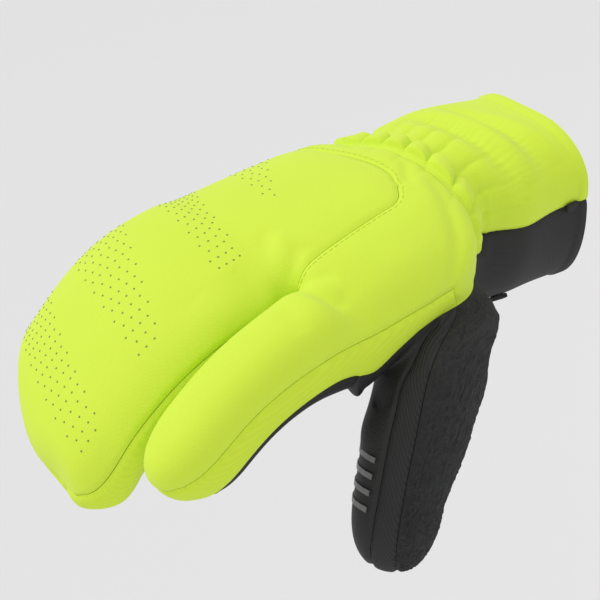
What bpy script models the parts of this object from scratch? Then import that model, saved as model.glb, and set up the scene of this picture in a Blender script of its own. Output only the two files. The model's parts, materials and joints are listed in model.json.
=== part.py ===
"""Winter cycling glove for the right hand: a mitten for three fingers, a separate index finger, a thumb and a
long cuff gathered at the wrist. It is modelled as worn, with the back of the hand up.

Frame, in metres: +X to the thumb side, -Y to the fingertips, +Z out of the back of the hand. The origin is the
middle of the wrist. The glove is one skin, lofted through the sections in the tables and cut along its seams
into panels. Each panel becomes a wall whose rims follow the skin's own directions, so that neighbours meet
with an even gap.
"""

import math
from collections import defaultdict, namedtuple
from functools import lru_cache

import bmesh
import bpy
import numpy as np
from mathutils import Matrix, Vector

# Lengths along the hand.
CUFF_LENGTH = 0.073
PALM_LENGTH = 0.094
MITTEN_LENGTH = 0.101
INDEX_LENGTH = 0.071
THUMB_LENGTH = 0.082

# Widths and depths over the outside of the padded walls.
HEM_WIDTH = 0.076
HEM_DEPTH = 0.086
WRIST_WIDTH = 0.082
WRIST_DEPTH = 0.053
PALM_WIDTH = 0.122
PALM_DEPTH = 0.050
FINGER_DEPTH = 0.034
INDEX_WIDTH = 0.033
THUMB_WIDTH = 0.037
THUMB_DEPTH = 0.038

# Walls, seams and small features.
SHELL_WALL = 0.0026
CUFF_WALL = 0.0022
PALM_WALL = 0.0022
FLEECE_WALL = 0.0028
SEAM_GAP = 0.0004
SLIT_GAP = 0.0016
GATHER_WIDTH = 0.013
GATHER_PUFF = 0.0028
CREASE_LENGTH = 0.016
CORNER_RADIUS = 0.022
BAR_COUNT = 4
BAR_WIDTH = 0.0022
BAR_HEIGHT = 0.0006
BAR_LIFT = 0.0005
BAR_SLANT = 0.002
WRIST_TAB = (0.005, 0.008, 0.0022)
HEM_TAB = (0.004, 0.006, 0.0016)
TAB_GAP = 0.0004

# The exponent of the sections' rounded form: 2 is an ellipse, and more is boxier.
ROUNDNESS = 2.4

# How many faces each stretch of the skin has.
MITTEN_COLUMNS = 12
INDEX_COLUMNS = 6
ALL_COLUMNS = MITTEN_COLUMNS + INDEX_COLUMNS
HOLE_COLUMNS = 5
FINGER_ROWS = 5
TIP_ROWS = 5
KNUCKLE_ROWS = 2
WEB_ROWS = 5
FLEECE_ROWS = 4
GATHER_ROWS = 4
CUFF_ROWS = 7
ROOT_ROWS = 3
THUMB_ROWS = 4
GATHER_SPLIT = 2
PUFF_FACES = 4
BAR_MARGIN = 1

# Sections of the cuff and the hand, from the hem (-1) through the wrist (0) and the crotch (1) to where the
# fingers' tips start to round. Each row names the width and the depth that its shares are of.
Section = namedtuple("Section", "at width depth ulnar slit radial back palm seam")
SECTIONS = [
    Section(-1.00, HEM_WIDTH, HEM_DEPTH, -0.48, 0.10, 0.53, 0.27, 0.71, 0.06),
    Section(-0.75, HEM_WIDTH, HEM_DEPTH, -0.51, 0.10, 0.52, 0.30, 0.70, 0.06),
    Section(-0.45, HEM_WIDTH, HEM_DEPTH, -0.55, 0.10, 0.53, 0.32, 0.67, 0.06),
    Section(-0.20, HEM_WIDTH, HEM_DEPTH, -0.54, 0.10, 0.44, 0.32, 0.62, 0.06),
    Section(0.00, WRIST_WIDTH, WRIST_DEPTH, -0.53, 0.14, 0.485, 0.55, 0.54, 0.08),
    Section(0.18, PALM_WIDTH, PALM_DEPTH, -0.42, 0.19, 0.46, 0.57, 0.54, 0.07),
    Section(0.45, PALM_WIDTH, PALM_DEPTH, -0.45, 0.20, 0.50, 0.54, 0.52, 0.09),
    Section(0.75, PALM_WIDTH, PALM_DEPTH, -0.48, 0.21, 0.51, 0.50, 0.46, 0.12),
    Section(1.00, PALM_WIDTH, PALM_DEPTH, -0.51, 0.22, 0.50, 0.44, 0.36, 0.13),
    Section(1.40, PALM_WIDTH, FINGER_DEPTH, -0.53, 0.22, 0.51, 0.56, 0.44, 0.20),
    Section(1.70, PALM_WIDTH, FINGER_DEPTH, -0.52, 0.22, 0.52, 0.54, 0.42, 0.20),
]

# How the hand's spine dips towards the palm and swings to the thumb side, in degrees. The index finger turns
# away from the mitten by its own extra columns beyond the crotch.
Bend = namedtuple("Bend", "at dip swing index_dip index_swing")
BENDS = [
    Bend(-1.0, 6.5, -12.0, 0.0, 0.0),
    Bend(0.0, 0.0, 0.0, 0.0, 0.0),
    Bend(0.7, 3.0, 0.0, 0.0, 0.0),
    Bend(1.0, 5.0, -1.0, 0.0, 0.0),
    Bend(1.5, 40.0, -7.0, -3.0, 1.2),
    Bend(2.0, 51.0, -7.0, -4.0, 1.2),
]

# Where each finger's tip starts to round, and how far it slants to the thumb side.
MITTEN_TIP_FROM = 1.64
MITTEN_TIP_SLANT = 0.5
INDEX_TIP_FROM = 1.62
INDEX_TIP_SLANT = 0.0

# The thumb's own sections from its root (0) to where its tip starts to round, as shares of THUMB_WIDTH and
# THUMB_DEPTH, with its bend to the pad's side in degrees.
ThumbSection = namedtuple("ThumbSection", "at side nail pad seam bend")
THUMB_SECTIONS = [
    ThumbSection(0.00, 0.54, 0.62, 0.50, 0.13, 0.0),
    ThumbSection(0.35, 0.50, 0.54, 0.48, 0.13, -1.0),
    ThumbSection(0.62, 0.46, 0.44, 0.46, 0.13, -3.0),
    ThumbSection(1.00, 0.42, 0.42, 0.42, 0.13, -4.0),
]
THUMB_TIP_FROM = 0.62
# How strongly the skin leaves the thumb's opening outwards, which makes the web and the thumb's base.
ROOT_BULGE = 0.1
THUMB_AXIS = Vector((0.16, -0.40, -0.74))
THUMB_BAND = Vector((0.32, -0.60, 0.67))
# Where the thumb's root lies, as shares of PALM_WIDTH, PALM_LENGTH and PALM_DEPTH.
THUMB_ROOT = (0.518, 0.525, -0.52)

# The first bar's place on the thumb's pad and their pitch, as shares of THUMB_LENGTH.
BAR_FIRST = 0.41
BAR_PITCH = 0.08

# The thumb's opening, its twill band and the mitten panel's proximal seam, as shares of PALM_LENGTH.
BAND_FROM = 0.36
BAND_TO = 0.46
HOLE_TO = 0.88
PANEL_END = 0.18
PANEL_SLANT = 0.10

# Colours are linear, as Principled BSDF takes them.
NEON = (0.72, 0.91, 0.08)
BLACK = (0.030, 0.030, 0.032)
CHARCOAL = (0.055, 0.055, 0.058)
GREY = (0.16, 0.16, 0.16)


def smooth(x, low, high):
    t = np.clip((np.asarray(x, float) - low) / (high - low), 0.0, 1.0)
    return t * t * (3.0 - 2.0 * t)


def curve_through(xs, ys, at):
    """A smooth curve through points, read at any place between them."""
    xs, ys = np.asarray(xs, float), np.asarray(ys, float)
    at = np.clip(np.asarray(at, float), xs[0], xs[-1])
    slopes = np.gradient(ys, xs)
    i = np.clip(np.searchsorted(xs, at, side="right") - 1, 0, len(xs) - 2)
    h = xs[i + 1] - xs[i]
    t = (at - xs[i]) / h
    rise = (3 * t**2 - 2 * t**3) * (ys[i + 1] - ys[i])
    return ys[i] + rise + h * ((t**3 - 2 * t**2 + t) * slopes[i] + (t**3 - t**2) * slopes[i + 1])


def follow(rows, name, at, of=None):
    """A table's column at any place, times the size that each row names."""
    shares = [getattr(row, name) * (getattr(row, of) if of else 1.0) for row in rows]
    return curve_through([row.at for row in rows], shares, at)


@lru_cache(maxsize=None)
def section(name, at, of="depth"):
    """A size of the hand's or the cuff's section at one place."""
    return float(follow(SECTIONS, name, at, of))


def rounded(x, y, z):
    """How far the rounded form reaches in a direction, where its half sizes are 1."""
    return (abs(x) ** ROUNDNESS + abs(y) ** ROUNDNESS + abs(z) ** ROUNDNESS) ** (-1.0 / ROUNDNESS)


class Spine:
    """A bent centre line with a frame, which turns lengths along, across and up into a point."""

    STEPS = 400

    def __init__(self, finger_length, share):
        self.at = np.linspace(-1.0, 2.1, self.STEPS)
        length = (np.minimum(self.at, 0) * CUFF_LENGTH + np.clip(self.at, 0, 1) * PALM_LENGTH
                  + np.maximum(self.at - 1, 0) * finger_length)
        own = share * smooth(self.at, 1.0, 1.3)
        dip = np.radians(follow(BENDS, "dip", self.at) + own * follow(BENDS, "index_dip", self.at))
        swing = np.radians(follow(BENDS, "swing", self.at) + own * follow(BENDS, "index_swing", self.at))
        flat = np.zeros_like(swing)
        self.along = np.stack([np.sin(swing) * np.cos(dip), -np.cos(swing) * np.cos(dip), -np.sin(dip)], 1)
        self.across = np.stack([np.cos(swing), np.sin(swing), flat], 1)
        self.up = np.cross(self.across, -self.along)
        steps = (self.along[1:] + self.along[:-1]) / 2 * np.diff(length)[:, None]
        self.line = np.concatenate([np.zeros((1, 3)), np.cumsum(steps, 0)])
        self.line -= self.frame(0.0)[0]

    def frame(self, at):
        """The spine's own point, its direction across and its direction up, between its nearest steps."""
        k = (at - self.at[0]) / (self.at[-1] - self.at[0]) * (self.STEPS - 1)
        low = min(int(k), self.STEPS - 2)
        return [v[low] + (v[low + 1] - v[low]) * (k - low) for v in (self.line, self.across, self.up)]

    def place(self, at, across, up):
        middle, side, top = self.frame(at)
        return middle + side * across + top * up


MITTEN_SPINE = Spine(MITTEN_LENGTH, 0.0)
INDEX_SPINE = Spine(INDEX_LENGTH, 1.0)

Pod = namedtuple("Pod", "name spine first last tip_from slant")
MITTEN = Pod("mitten", MITTEN_SPINE, 0, MITTEN_COLUMNS, MITTEN_TIP_FROM, MITTEN_TIP_SLANT)
INDEX = Pod("index", INDEX_SPINE, MITTEN_COLUMNS, ALL_COLUMNS, INDEX_TIP_FROM, INDEX_TIP_SLANT)


def hand_span(at):
    """Where the hand's ulnar side, the slit and the radial side are across the spine."""
    return [section(name, at, "width") for name in ("ulnar", "slit", "radial")]


def pod_span(pod, at):
    """Centre and half width of the mitten or of the index finger."""
    ulnar, slit, radial = hand_span(at)
    gap = SLIT_GAP / 2 * float(smooth(at, 1.0, 1.1))
    if pod is MITTEN:
        low, high = ulnar, slit - gap
    else:
        wanted = float(smooth(at, 0.9, 1.25))
        low = slit + gap
        high = radial * (1 - wanted) + (low + INDEX_WIDTH) * wanted
    return (low + high) / 2, (high - low) / 2


def rises(at, side):
    """How high the section is on the back (side 1) or the palm (-1), and the height of the seam there."""
    return section("back" if side >= 0 else "palm", at), section("seam", at)


def on_form(centre, half, rise, direction):
    """Across, along (as a share) and up of the rounded form's point in a direction."""
    x, y, z = direction
    reach = rounded(x, y, z)
    return centre + half * x * reach, y * reach, rise * z * reach


def sheet_direction(x, y, edge_angle):
    """The direction that a place on a sheet's plan, at most 1 from its centre, has on the rounded form."""
    out = math.hypot(x, y)
    if out < 1e-9:
        return 0.0, 0.0, 1.0
    lean = out * (math.pi / 2 - edge_angle)
    return x / out * math.sin(lean), y / out * math.sin(lean), math.cos(lean)


def seam_angle(rise, seam):
    return math.asin(min(0.9, seam / rise))


def pod_sheet(pod, at, t, side):
    centre, half = pod_span(pod, at)
    rise, seam = rises(at, side)
    across, _, up = on_form(centre, half, rise, sheet_direction(t, 0.0, seam_angle(rise, seam)))
    return across, side * up


def hand_sheet(at, column, side):
    """Across and up of the hand's back or palm. Columns run from the ulnar seam to the radial seam."""
    rise, seam = rises(at, side)
    ulnar, slit, radial = hand_span(at)
    centre, half = (ulnar + radial) / 2, (radial - ulnar) / 2
    lean = math.pi / 2 - seam_angle(rise, seam)
    split = math.asin((slit - centre) / half) / lean
    if column <= MITTEN_COLUMNS:
        share = column / MITTEN_COLUMNS
        t = -1 + (split + 1) * share
    else:
        share = (column - MITTEN_COLUMNS) / INDEX_COLUMNS
        t = split + (1 - split) * share
    across, _, up = on_form(centre, half, rise, sheet_direction(t, 0.0, math.pi / 2 - lean))
    parted = float(smooth(at, 1.0 - CREASE_LENGTH / PALM_LENGTH, 1.0)) ** 1.5
    if parted > 0:
        pod = MITTEN if column <= MITTEN_COLUMNS else INDEX
        pod_across, pod_up = pod_sheet(pod, at, 2 * share - 1, side)
        if column == MITTEN_COLUMNS:
            pod_across = slit
        across += (pod_across - across) * parted
        up += (abs(pod_up) - up) * parted
    return across, side * up


def tip_place(pod, t, s, side):
    """At, across and up on a finger's rounded tip. The tip's grid is half a disc with square corners."""
    x, y = t * math.sqrt(1 - s * s / 2), s * math.sqrt(1 - t * t / 2)
    centre, half = pod_span(pod, pod.tip_from)
    rise, seam = rises(pod.tip_from, side)
    if side:
        direction = sheet_direction(x, y, seam_angle(rise, seam))
    else:
        direction = x / math.hypot(x, y), y / math.hypot(x, y), 0.0
    across, along, up = on_form(centre, half, rise, direction)
    slant = 1 + pod.slant * (across - centre) / half
    return pod.tip_from + (2.0 - pod.tip_from) * along * slant, across, side * up


def stretch(low, high, count):
    return [low + (high - low) * k / count for k in range(count)]


# The rows of the skin from the crotch to the hem. The thumb's opening and its band begin and end on rows.
HAND_EDGE = GATHER_WIDTH / 2 / PALM_LENGTH
CUFF_EDGE = -GATHER_WIDTH / 2 / CUFF_LENGTH
HAND_ROWS = (stretch(1.0, HOLE_TO, KNUCKLE_ROWS) + stretch(HOLE_TO, BAND_TO, WEB_ROWS)
             + stretch(BAND_TO, BAND_FROM, 2) + stretch(BAND_FROM, HAND_EDGE, FLEECE_ROWS))
TRUNK_ROWS = (HAND_ROWS + stretch(HAND_EDGE, CUFF_EDGE, GATHER_ROWS)
              + stretch(CUFF_EDGE, -1.0, CUFF_ROWS) + [-1.0])
HOLE_ROW = KNUCKLE_ROWS
GUSSET_ROW = KNUCKLE_ROWS + WEB_ROWS + 2
PANEL_ROW = GUSSET_ROW + FLEECE_ROWS // 2
WRIST_ROW = len(HAND_ROWS)
HOLE_END = WRIST_ROW - 1
CUFF_ROW = WRIST_ROW + GATHER_ROWS

# Each ring of points runs along the back, down the radial side, back along the palm and up the ulnar side.
RADIAL = ALL_COLUMNS + 1
PALM_START = ALL_COLUMNS + 2
PALM_END = 2 * ALL_COLUMNS + 2
ULNAR = PALM_END + 1
RING = PALM_END + 2


def panel_shift(at, column):
    """How far the back's rows and columns move so that the mitten panel's seam follows them."""
    seam_at = TRUNK_ROWS[PANEL_ROW]
    strength = smooth(at, 0.10, seam_at) if at < seam_at else smooth(-at, -0.95, -seam_at)
    fade = 1 - smooth(column, MITTEN_COLUMNS + 1, ALL_COLUMNS - 1)
    slanted = PANEL_END + PANEL_SLANT * (1 - column / MITTEN_COLUMNS)
    along_shift = float((slanted - seam_at) * strength * fade)
    ulnar, slit, _ = hand_span(at)
    column_width = (slit - ulnar) / MITTEN_COLUMNS
    along = (at + along_shift - PANEL_END) * PALM_LENGTH
    out = (column - MITTEN_COLUMNS) * column_width
    near = max(0.0, 1 - max(abs(along), abs(out)) / CORNER_RADIUS)
    corner = (1 - math.sqrt(0.5)) * CORNER_RADIUS * near**2
    return along_shift + corner / PALM_LENGTH, -corner / column_width


class Skin:
    """The glove's outer surface. Points have names, so that neighbouring faces share them."""

    def __init__(self):
        self.places = {}
        self.faces = []

    def put(self, key, placed):
        """Keeps a named point. placed() works out its place, the first time that the name comes."""
        if key not in self.places:
            self.places[key] = placed()
        return key

    def face(self, panel, *keys):
        self.faces.append((panel, keys))


def trunk_place(row, ring):
    """A place on the hand or the cuff."""
    at = TRUNK_ROWS[row]
    if ring <= ALL_COLUMNS:
        shift_at, shift_column = panel_shift(at, ring) if 0 < row < WRIST_ROW else (0.0, 0.0)
        across, up = hand_sheet(at + shift_at, ring + shift_column, 1)
        return MITTEN_SPINE.place(at + shift_at, across, up)
    if PALM_START <= ring <= PALM_END:
        return MITTEN_SPINE.place(at, *hand_sheet(at, PALM_END - ring, -1))
    ulnar, _, radial = hand_span(at)
    return MITTEN_SPINE.place(at, radial if ring == RADIAL else ulnar, 0.0)


def trunk_point(skin, row, ring):
    ring %= RING
    return skin.put(("trunk", row, ring), lambda: trunk_place(row, ring))


def trunk_panel(row, ring):
    """The panel that owns a face of the hand or the cuff, or None in the thumb's opening. The thumb's fleece
    runs on to the wrist below the opening."""
    on_palm = PALM_START <= ring < PALM_END
    if row >= WRIST_ROW:
        back = "cuff_back" if row >= CUFF_ROW else "wrist_gather"
        return "cuff_palm" if on_palm else back
    if on_palm:
        if row < HOLE_ROW or ring >= PALM_START + HOLE_COLUMNS:
            return "palm_panel"
        return None if row < HOLE_END else "thumb_back"
    if ring < ALL_COLUMNS:
        return "mitten_back" if ring < MITTEN_COLUMNS and row < PANEL_ROW else "hand_back"
    side = "index_gusset" if ring <= RADIAL else "mitten_gusset"
    return side if row < GUSSET_ROW else "hand_back"


def add_trunk(skin):
    for row in range(len(TRUNK_ROWS) - 1):
        for ring in range(RING):
            panel = trunk_panel(row, ring)
            if panel:
                corners = (row, ring), (row, ring + 1), (row + 1, ring + 1), (row + 1, ring)
                skin.face(panel, *[trunk_point(skin, *corner) for corner in corners])


def pod_place(pod, row, column, side):
    """A place on a finger. Side 1 is its back, -1 its palm and 0 the middle of its side band."""
    t = 2 * (column - pod.first) / (pod.last - pod.first) - 1
    if row > FINGER_ROWS:
        return pod.spine.place(*tip_place(pod, t, (row - FINGER_ROWS) / TIP_ROWS, side))
    at = 1.0 + (pod.tip_from - 1.0) * row / FINGER_ROWS
    if side:
        return pod.spine.place(at, *pod_sheet(pod, at, t, side))
    centre, half = pod_span(pod, at)
    return pod.spine.place(at, centre + half * t, 0.0)


def pod_point(skin, pod, row, column, side):
    if row:
        return skin.put((pod.name, row, column, side), lambda: pod_place(pod, row, column, side))
    if side:
        return trunk_point(skin, 0, column if side > 0 else PALM_END - column)
    if column == MITTEN_COLUMNS:
        return skin.put("crotch", lambda: MITTEN_SPINE.place(1.0, hand_span(1.0)[1], 0.0))
    return trunk_point(skin, 0, RADIAL if column else ULNAR)


def border_of_tip(first, last, rows):
    """A finger's border as (row, column), from its first column round the tip to its last column."""
    there = [(row, first) for row in range(rows)] + [(rows, column) for column in range(first, last)]
    return there + [(row, last) for row in range(rows, -1, -1)]


def add_sheets_and_band(skin, point, first, last, rows, panels, band):
    """The two sheets of a finger and the band between them. The band's panel depends on the place."""
    for side, panel in ((1, panels[0]), (-1, panels[1])):
        for row in range(rows):
            for column in range(first, last):
                corners = (row, column), (row, column + 1), (row + 1, column + 1), (row + 1, column)
                skin.face(panel, *[point(*corner, side) for corner in corners[::side]])
    border = border_of_tip(first, last, rows)
    for k, (start, end) in enumerate(zip(border, border[1:])):
        for upper, lower in ((1, 0), (0, -1)):
            skin.face(band(k), point(*start, upper), point(*end, upper), point(*end, lower), point(*start, lower))


def add_pod(skin, pod):
    """A finger. Its band on the slit's side is the fourchette, which ends a little way round the tip."""
    rows = FINGER_ROWS + TIP_ROWS
    back, outer = ("mitten_back", "mitten_gusset") if pod is MITTEN else ("hand_back", "index_gusset")
    before_joint = rows + 2 if pod is INDEX else rows + MITTEN_COLUMNS - 2

    def band(k):
        in_slit = k < before_joint if pod is INDEX else k >= before_joint
        return "fourchette" if in_slit else outer

    def point(row, column, side):
        return pod_point(skin, pod, row, column, side)

    add_sheets_and_band(skin, point, pod.first, pod.last, rows, (back, "palm_panel"), band)


class ThumbFrame:
    """The thumb's bent centre line, from its root, with the directions of its band and of its nail."""

    def __init__(self):
        axis = THUMB_AXIS.normalized()
        band = (THUMB_BAND - axis * THUMB_BAND.dot(axis)).normalized()
        self.axis, self.band, self.nail = np.array(axis), np.array(band), np.array(band.cross(axis))
        shares = zip(THUMB_ROOT, (PALM_WIDTH, -PALM_LENGTH, PALM_DEPTH))
        self.root = np.array([share * size for share, size in shares])

    def turned(self, degrees):
        bend = math.radians(degrees)
        return (self.axis * math.cos(bend) - self.nail * math.sin(bend),
                self.nail * math.cos(bend) + self.axis * math.sin(bend))

    def place(self, at, along_band, out):
        bends = follow(THUMB_SECTIONS, "bend", np.linspace(0.0, at, 24))
        line = np.mean([self.turned(bend)[0] for bend in bends], axis=0) * at * THUMB_LENGTH
        return self.root + line + self.band * along_band + self.turned(bends[-1])[1] * out


THUMB_FRAME = ThumbFrame()
THUMB_COLUMNS = HOLE_COLUMNS + HOLE_END - HOLE_ROW - 2
THUMB_RING = 2 * THUMB_COLUMNS + 4


def thumb_place(at, t, s, side):
    """A place on the thumb. t runs from its lower to its upper band, and s rounds the tip."""
    half = float(follow(THUMB_SECTIONS, "side", at)) * THUMB_WIDTH
    seam = float(follow(THUMB_SECTIONS, "seam", at)) * THUMB_DEPTH
    rise = float(follow(THUMB_SECTIONS, "nail" if side >= 0 else "pad", at)) * THUMB_DEPTH
    x, y = t * math.sqrt(1 - s * s / 2), s * math.sqrt(1 - t * t / 2)
    if side:
        direction = sheet_direction(x, y, seam_angle(rise, seam))
    else:
        direction = x / math.hypot(x, y), y / math.hypot(x, y), 0.0
    across, along, up = on_form(0.0, half, rise, direction)
    return THUMB_FRAME.place(at + (1.0 - THUMB_TIP_FROM) * along, across, side * up)


def thumb_ring():
    """The thumb's ring as (t, side): up over the nail's side, the upper band, the pad, the lower band."""
    nail = [(2 * k / THUMB_COLUMNS - 1, 1) for k in range(THUMB_COLUMNS + 1)]
    pad = [(-t, -side) for t, side in nail]
    return nail + [(1, 0)] + pad + [(-1, 0)]


def hole_ring():
    """The opening's points as (row, ring), in the same order as the thumb's ring."""
    inner = PALM_START + HOLE_COLUMNS
    upper = [(row, PALM_START) for row in range(HOLE_END, HOLE_ROW, -1)]
    fingers = [(HOLE_ROW, ring) for ring in range(PALM_START, inner)]
    lower = [(row, inner) for row in range(HOLE_ROW, HOLE_END)]
    wrist = [(HOLE_END, ring) for ring in range(inner, PALM_START, -1)]
    loop = upper + fingers + lower + wrist
    start = len(loop) - THUMB_COLUMNS + FLEECE_ROWS - 1
    return loop[start:] + loop[:start]


def root_place(start, t, side, share):
    """A place between the opening and the thumb's root, leaving the opening outwards."""
    end = thumb_place(0.0, t, 0.0, side)
    reach = np.linalg.norm(end - start)
    out = start - THUMB_FRAME.root
    out -= THUMB_FRAME.axis * out.dot(THUMB_FRAME.axis)
    out /= np.linalg.norm(out)
    leave = (share**3 - 2 * share**2 + share) * reach
    arrive = (share**3 - share**2) * reach
    line = start + (end - start) * share * share * (3 - 2 * share)
    return line + (0.5 * THUMB_FRAME.axis + ROOT_BULGE * out) * leave + THUMB_FRAME.axis * arrive


def thumb_point(skin, row, k):
    k %= THUMB_RING
    opening = trunk_point(skin, *hole_ring()[k])
    if row == 0:
        return opening
    t, side = thumb_ring()[k]
    if row < ROOT_ROWS:
        return skin.put(("thumb", row, k), lambda: root_place(skin.places[opening], t, side, row / ROOT_ROWS))
    at = THUMB_TIP_FROM * (row - ROOT_ROWS) / THUMB_ROWS
    return skin.put(("thumb", row, k), lambda: thumb_place(at, t, 0.0, side))


def thumb_panel(k):
    if k < THUMB_COLUMNS:
        return "thumb_back"
    on_pad = THUMB_COLUMNS + 2 <= k < 2 * THUMB_COLUMNS + 2
    return "thumb_pad" if on_pad else "thumb_band"


def add_thumb(skin):
    body = ROOT_ROWS + THUMB_ROWS
    for row in range(body):
        for k in range(THUMB_RING):
            corners = (row, k), (row, k + 1), (row + 1, k + 1), (row + 1, k)
            skin.face(thumb_panel(k), *[thumb_point(skin, *corner) for corner in corners])

    def point(row, column, side):
        if row == 0:
            middle = THUMB_COLUMNS + 1 if column else THUMB_RING - 1
            return thumb_point(skin, body, {1: column, -1: 2 * THUMB_COLUMNS + 2 - column}.get(side, middle))
        t = 2 * column / THUMB_COLUMNS - 1
        key = "thumb tip", row, column, side
        return skin.put(key, lambda: thumb_place(THUMB_TIP_FROM, t, row / TIP_ROWS, side))

    panels = "thumb_back", "thumb_pad"
    add_sheets_and_band(skin, point, 0, THUMB_COLUMNS, TIP_ROWS, panels, lambda k: "thumb_band")


def build_skin():
    skin = Skin()
    add_trunk(skin)
    add_pod(skin, MITTEN)
    add_pod(skin, INDEX)
    add_thumb(skin)
    return skin


def outward(skin):
    """The skin's faces wound outwards and its points' directions, from all the faces around each point."""
    mesh = bmesh.new()
    keys = {}
    verts = {}
    for key, place in skin.places.items():
        verts[key] = mesh.verts.new(place)
        keys[verts[key]] = key
    for _, face in skin.faces:
        mesh.faces.new([verts[key] for key in face])
    bmesh.ops.recalc_face_normals(mesh, faces=mesh.faces)
    mesh.normal_update()
    faces = [[keys[vert] for vert in face.verts] for face in mesh.faces]
    normals = {keys[vert]: np.array(vert.normal) for vert in mesh.verts}
    mesh.free()
    return faces, normals


def panel_wall(faces, places, normals, wall):
    """A panel's wall: its outer faces drawn in by half the seam's gap, its inner faces and its rim. The rims of
    two neighbours are split along the same diagonals, so a twisted rim keeps its gap."""
    inward = {}
    for keys in faces:
        corners = [places[key] for key in keys]
        normal = np.cross(corners[2] - corners[0], corners[3] - corners[1])
        for start, end in zip(keys, keys[1:] + keys[:1]):
            direction = np.cross(normal, places[end] - places[start])
            inward[start, end] = direction / np.linalg.norm(direction)
    rim = [edge for edge in inward if edge[::-1] not in inward]
    pulls = defaultdict(list)
    for edge in rim:
        for key in edge:
            pulls[key].append(inward[edge])
    keys = list(dict.fromkeys(key for face in faces for key in face))
    outer = []
    for key in keys:
        pull = sum(pulls[key]) if key in pulls else np.zeros(3)
        tight = max(0.5, pull.dot(pull) / max(1, len(pulls[key])))
        outer.append(places[key] + pull * SEAM_GAP / 2 / tight)
    inner = [place - normals[key] * wall for place, key in zip(outer, keys)]
    index = {key: n for n, key in enumerate(keys)}
    under = len(keys)
    polygons = [[index[key] for key in face] for face in faces]
    polygons += [[index[key] + under for key in reversed(face)] for face in faces]
    for start, end in rim:
        a, b = index[start], index[end]
        if str(start) < str(end):
            polygons += [[b, a, b + under], [a, a + under, b + under]]
        else:
            polygons += [[b, a, a + under], [b, a + under, b + under]]
    return outer + inner, polygons


def gather_faces(skin, normals):
    """The wrist's gathered strip, with a puff between each two of its stitches. Its borders stay on the skin."""
    places, directions, faces = {}, {}, []
    first, last = PALM_END, RING + PALM_START
    steps = (last - first) * GATHER_SPLIT
    for row in range(GATHER_ROWS + 1):
        for step in range(steps + 1):
            ring, share = first + step // GATHER_SPLIT, step % GATHER_SPLIT / GATHER_SPLIT
            near = "trunk", WRIST_ROW + row, ring % RING
            far = "trunk", WRIST_ROW + row, (ring + 1) % RING if share else ring % RING
            out = normals[near] * (1 - share) + normals[far] * share
            puff = math.sin(math.pi * step / PUFF_FACES) ** 2 * math.sin(math.pi * row / GATHER_ROWS)
            place = skin.places[near] * (1 - share) + skin.places[far] * share
            places[row, step] = place + out * GATHER_PUFF * puff
            directions[row, step] = out / np.linalg.norm(out)
    for row in range(GATHER_ROWS):
        for step in range(steps):
            faces.append([(row, step), (row, step + 1), (row + 1, step + 1), (row + 1, step)])
    return faces, places, directions


def grip_bar(number):
    """A bar of silicone across the thumb's pad. Its faces lie over the pad's columns, all but the outermost."""
    start = BAR_FIRST + BAR_PITCH * number
    columns = range(BAR_MARGIN, THUMB_COLUMNS - BAR_MARGIN + 1)
    grid = {}
    for layer, height in enumerate((BAR_LIFT, BAR_LIFT + BAR_HEIGHT)):
        for column in columns:
            t = 2 * column / THUMB_COLUMNS - 1
            for edge in (0, 1):
                at = start + (BAR_WIDTH * edge + BAR_SLANT * t) / THUMB_LENGTH
                place = thumb_place(at, t, 0.0, -1)
                out = place - THUMB_FRAME.place(at, 0.0, 0.0)
                grid[layer, column, edge] = place + out / np.linalg.norm(out) * height
    index = {key: n for n, key in enumerate(grid)}
    ends = [[(layer, column, edge) for layer, edge in ((0, 0), (0, 1), (1, 1), (1, 0))] for column in columns]
    polygons = [[index[key] for key in ends[0]], [index[key] for key in reversed(ends[-1])]]
    for near, far in zip(ends, ends[1:]):
        for k in range(4):
            corners = far[k], far[k - 3], near[k - 3], near[k]
            polygons.append([index[key] for key in corners])
    return list(grid.values()), polygons


def add_tab(name, skin, normals, row, ring, size, material, collection):
    """A small tab that stands on the skin's surface, with its length along the hand."""
    key = "trunk", row, ring
    out = Vector(normals[key])
    along = Vector(skin.places["trunk", row - 1, ring] - skin.places[key])
    across = along.cross(out).normalized()
    along = out.cross(across)
    mesh = bpy.data.meshes.new(name)
    cage = bmesh.new()
    bmesh.ops.create_cube(cage, size=1.0)
    bmesh.ops.scale(cage, vec=size, verts=cage.verts)
    cage.to_mesh(mesh)
    cage.free()
    mesh.materials.append(material)
    obj = bpy.data.objects.new(name, mesh)
    collection.objects.link(obj)
    bevel = obj.modifiers.new("rounded", "BEVEL")
    bevel.width = min(size) * 0.3
    bevel.segments = 2
    place = Vector(skin.places[key]) + out * (TAB_GAP + size[2] / 2)
    obj.matrix_world = Matrix.Translation(place) @ Matrix((across, along, out)).transposed().to_4x4()
    return obj


def add_object(name, points, polygons, material, collection):
    mesh = bpy.data.meshes.new(name)
    mesh.from_pydata([tuple(place) for place in points], [], polygons)
    mesh.materials.append(material)
    mesh.shade_smooth()
    mesh.set_sharp_from_angle(angle=math.radians(50))
    obj = bpy.data.objects.new(name, mesh)
    collection.objects.link(obj)
    return obj


def make_material(name, colour, roughness):
    made = bpy.data.materials.new(name)
    made.use_nodes = True
    shader = made.node_tree.nodes["Principled BSDF"]
    shader.inputs["Base Color"].default_value = (*colour, 1.0)
    shader.inputs["Roughness"].default_value = roughness
    shader.inputs["Metallic"].default_value = 0.0
    return made


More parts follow.
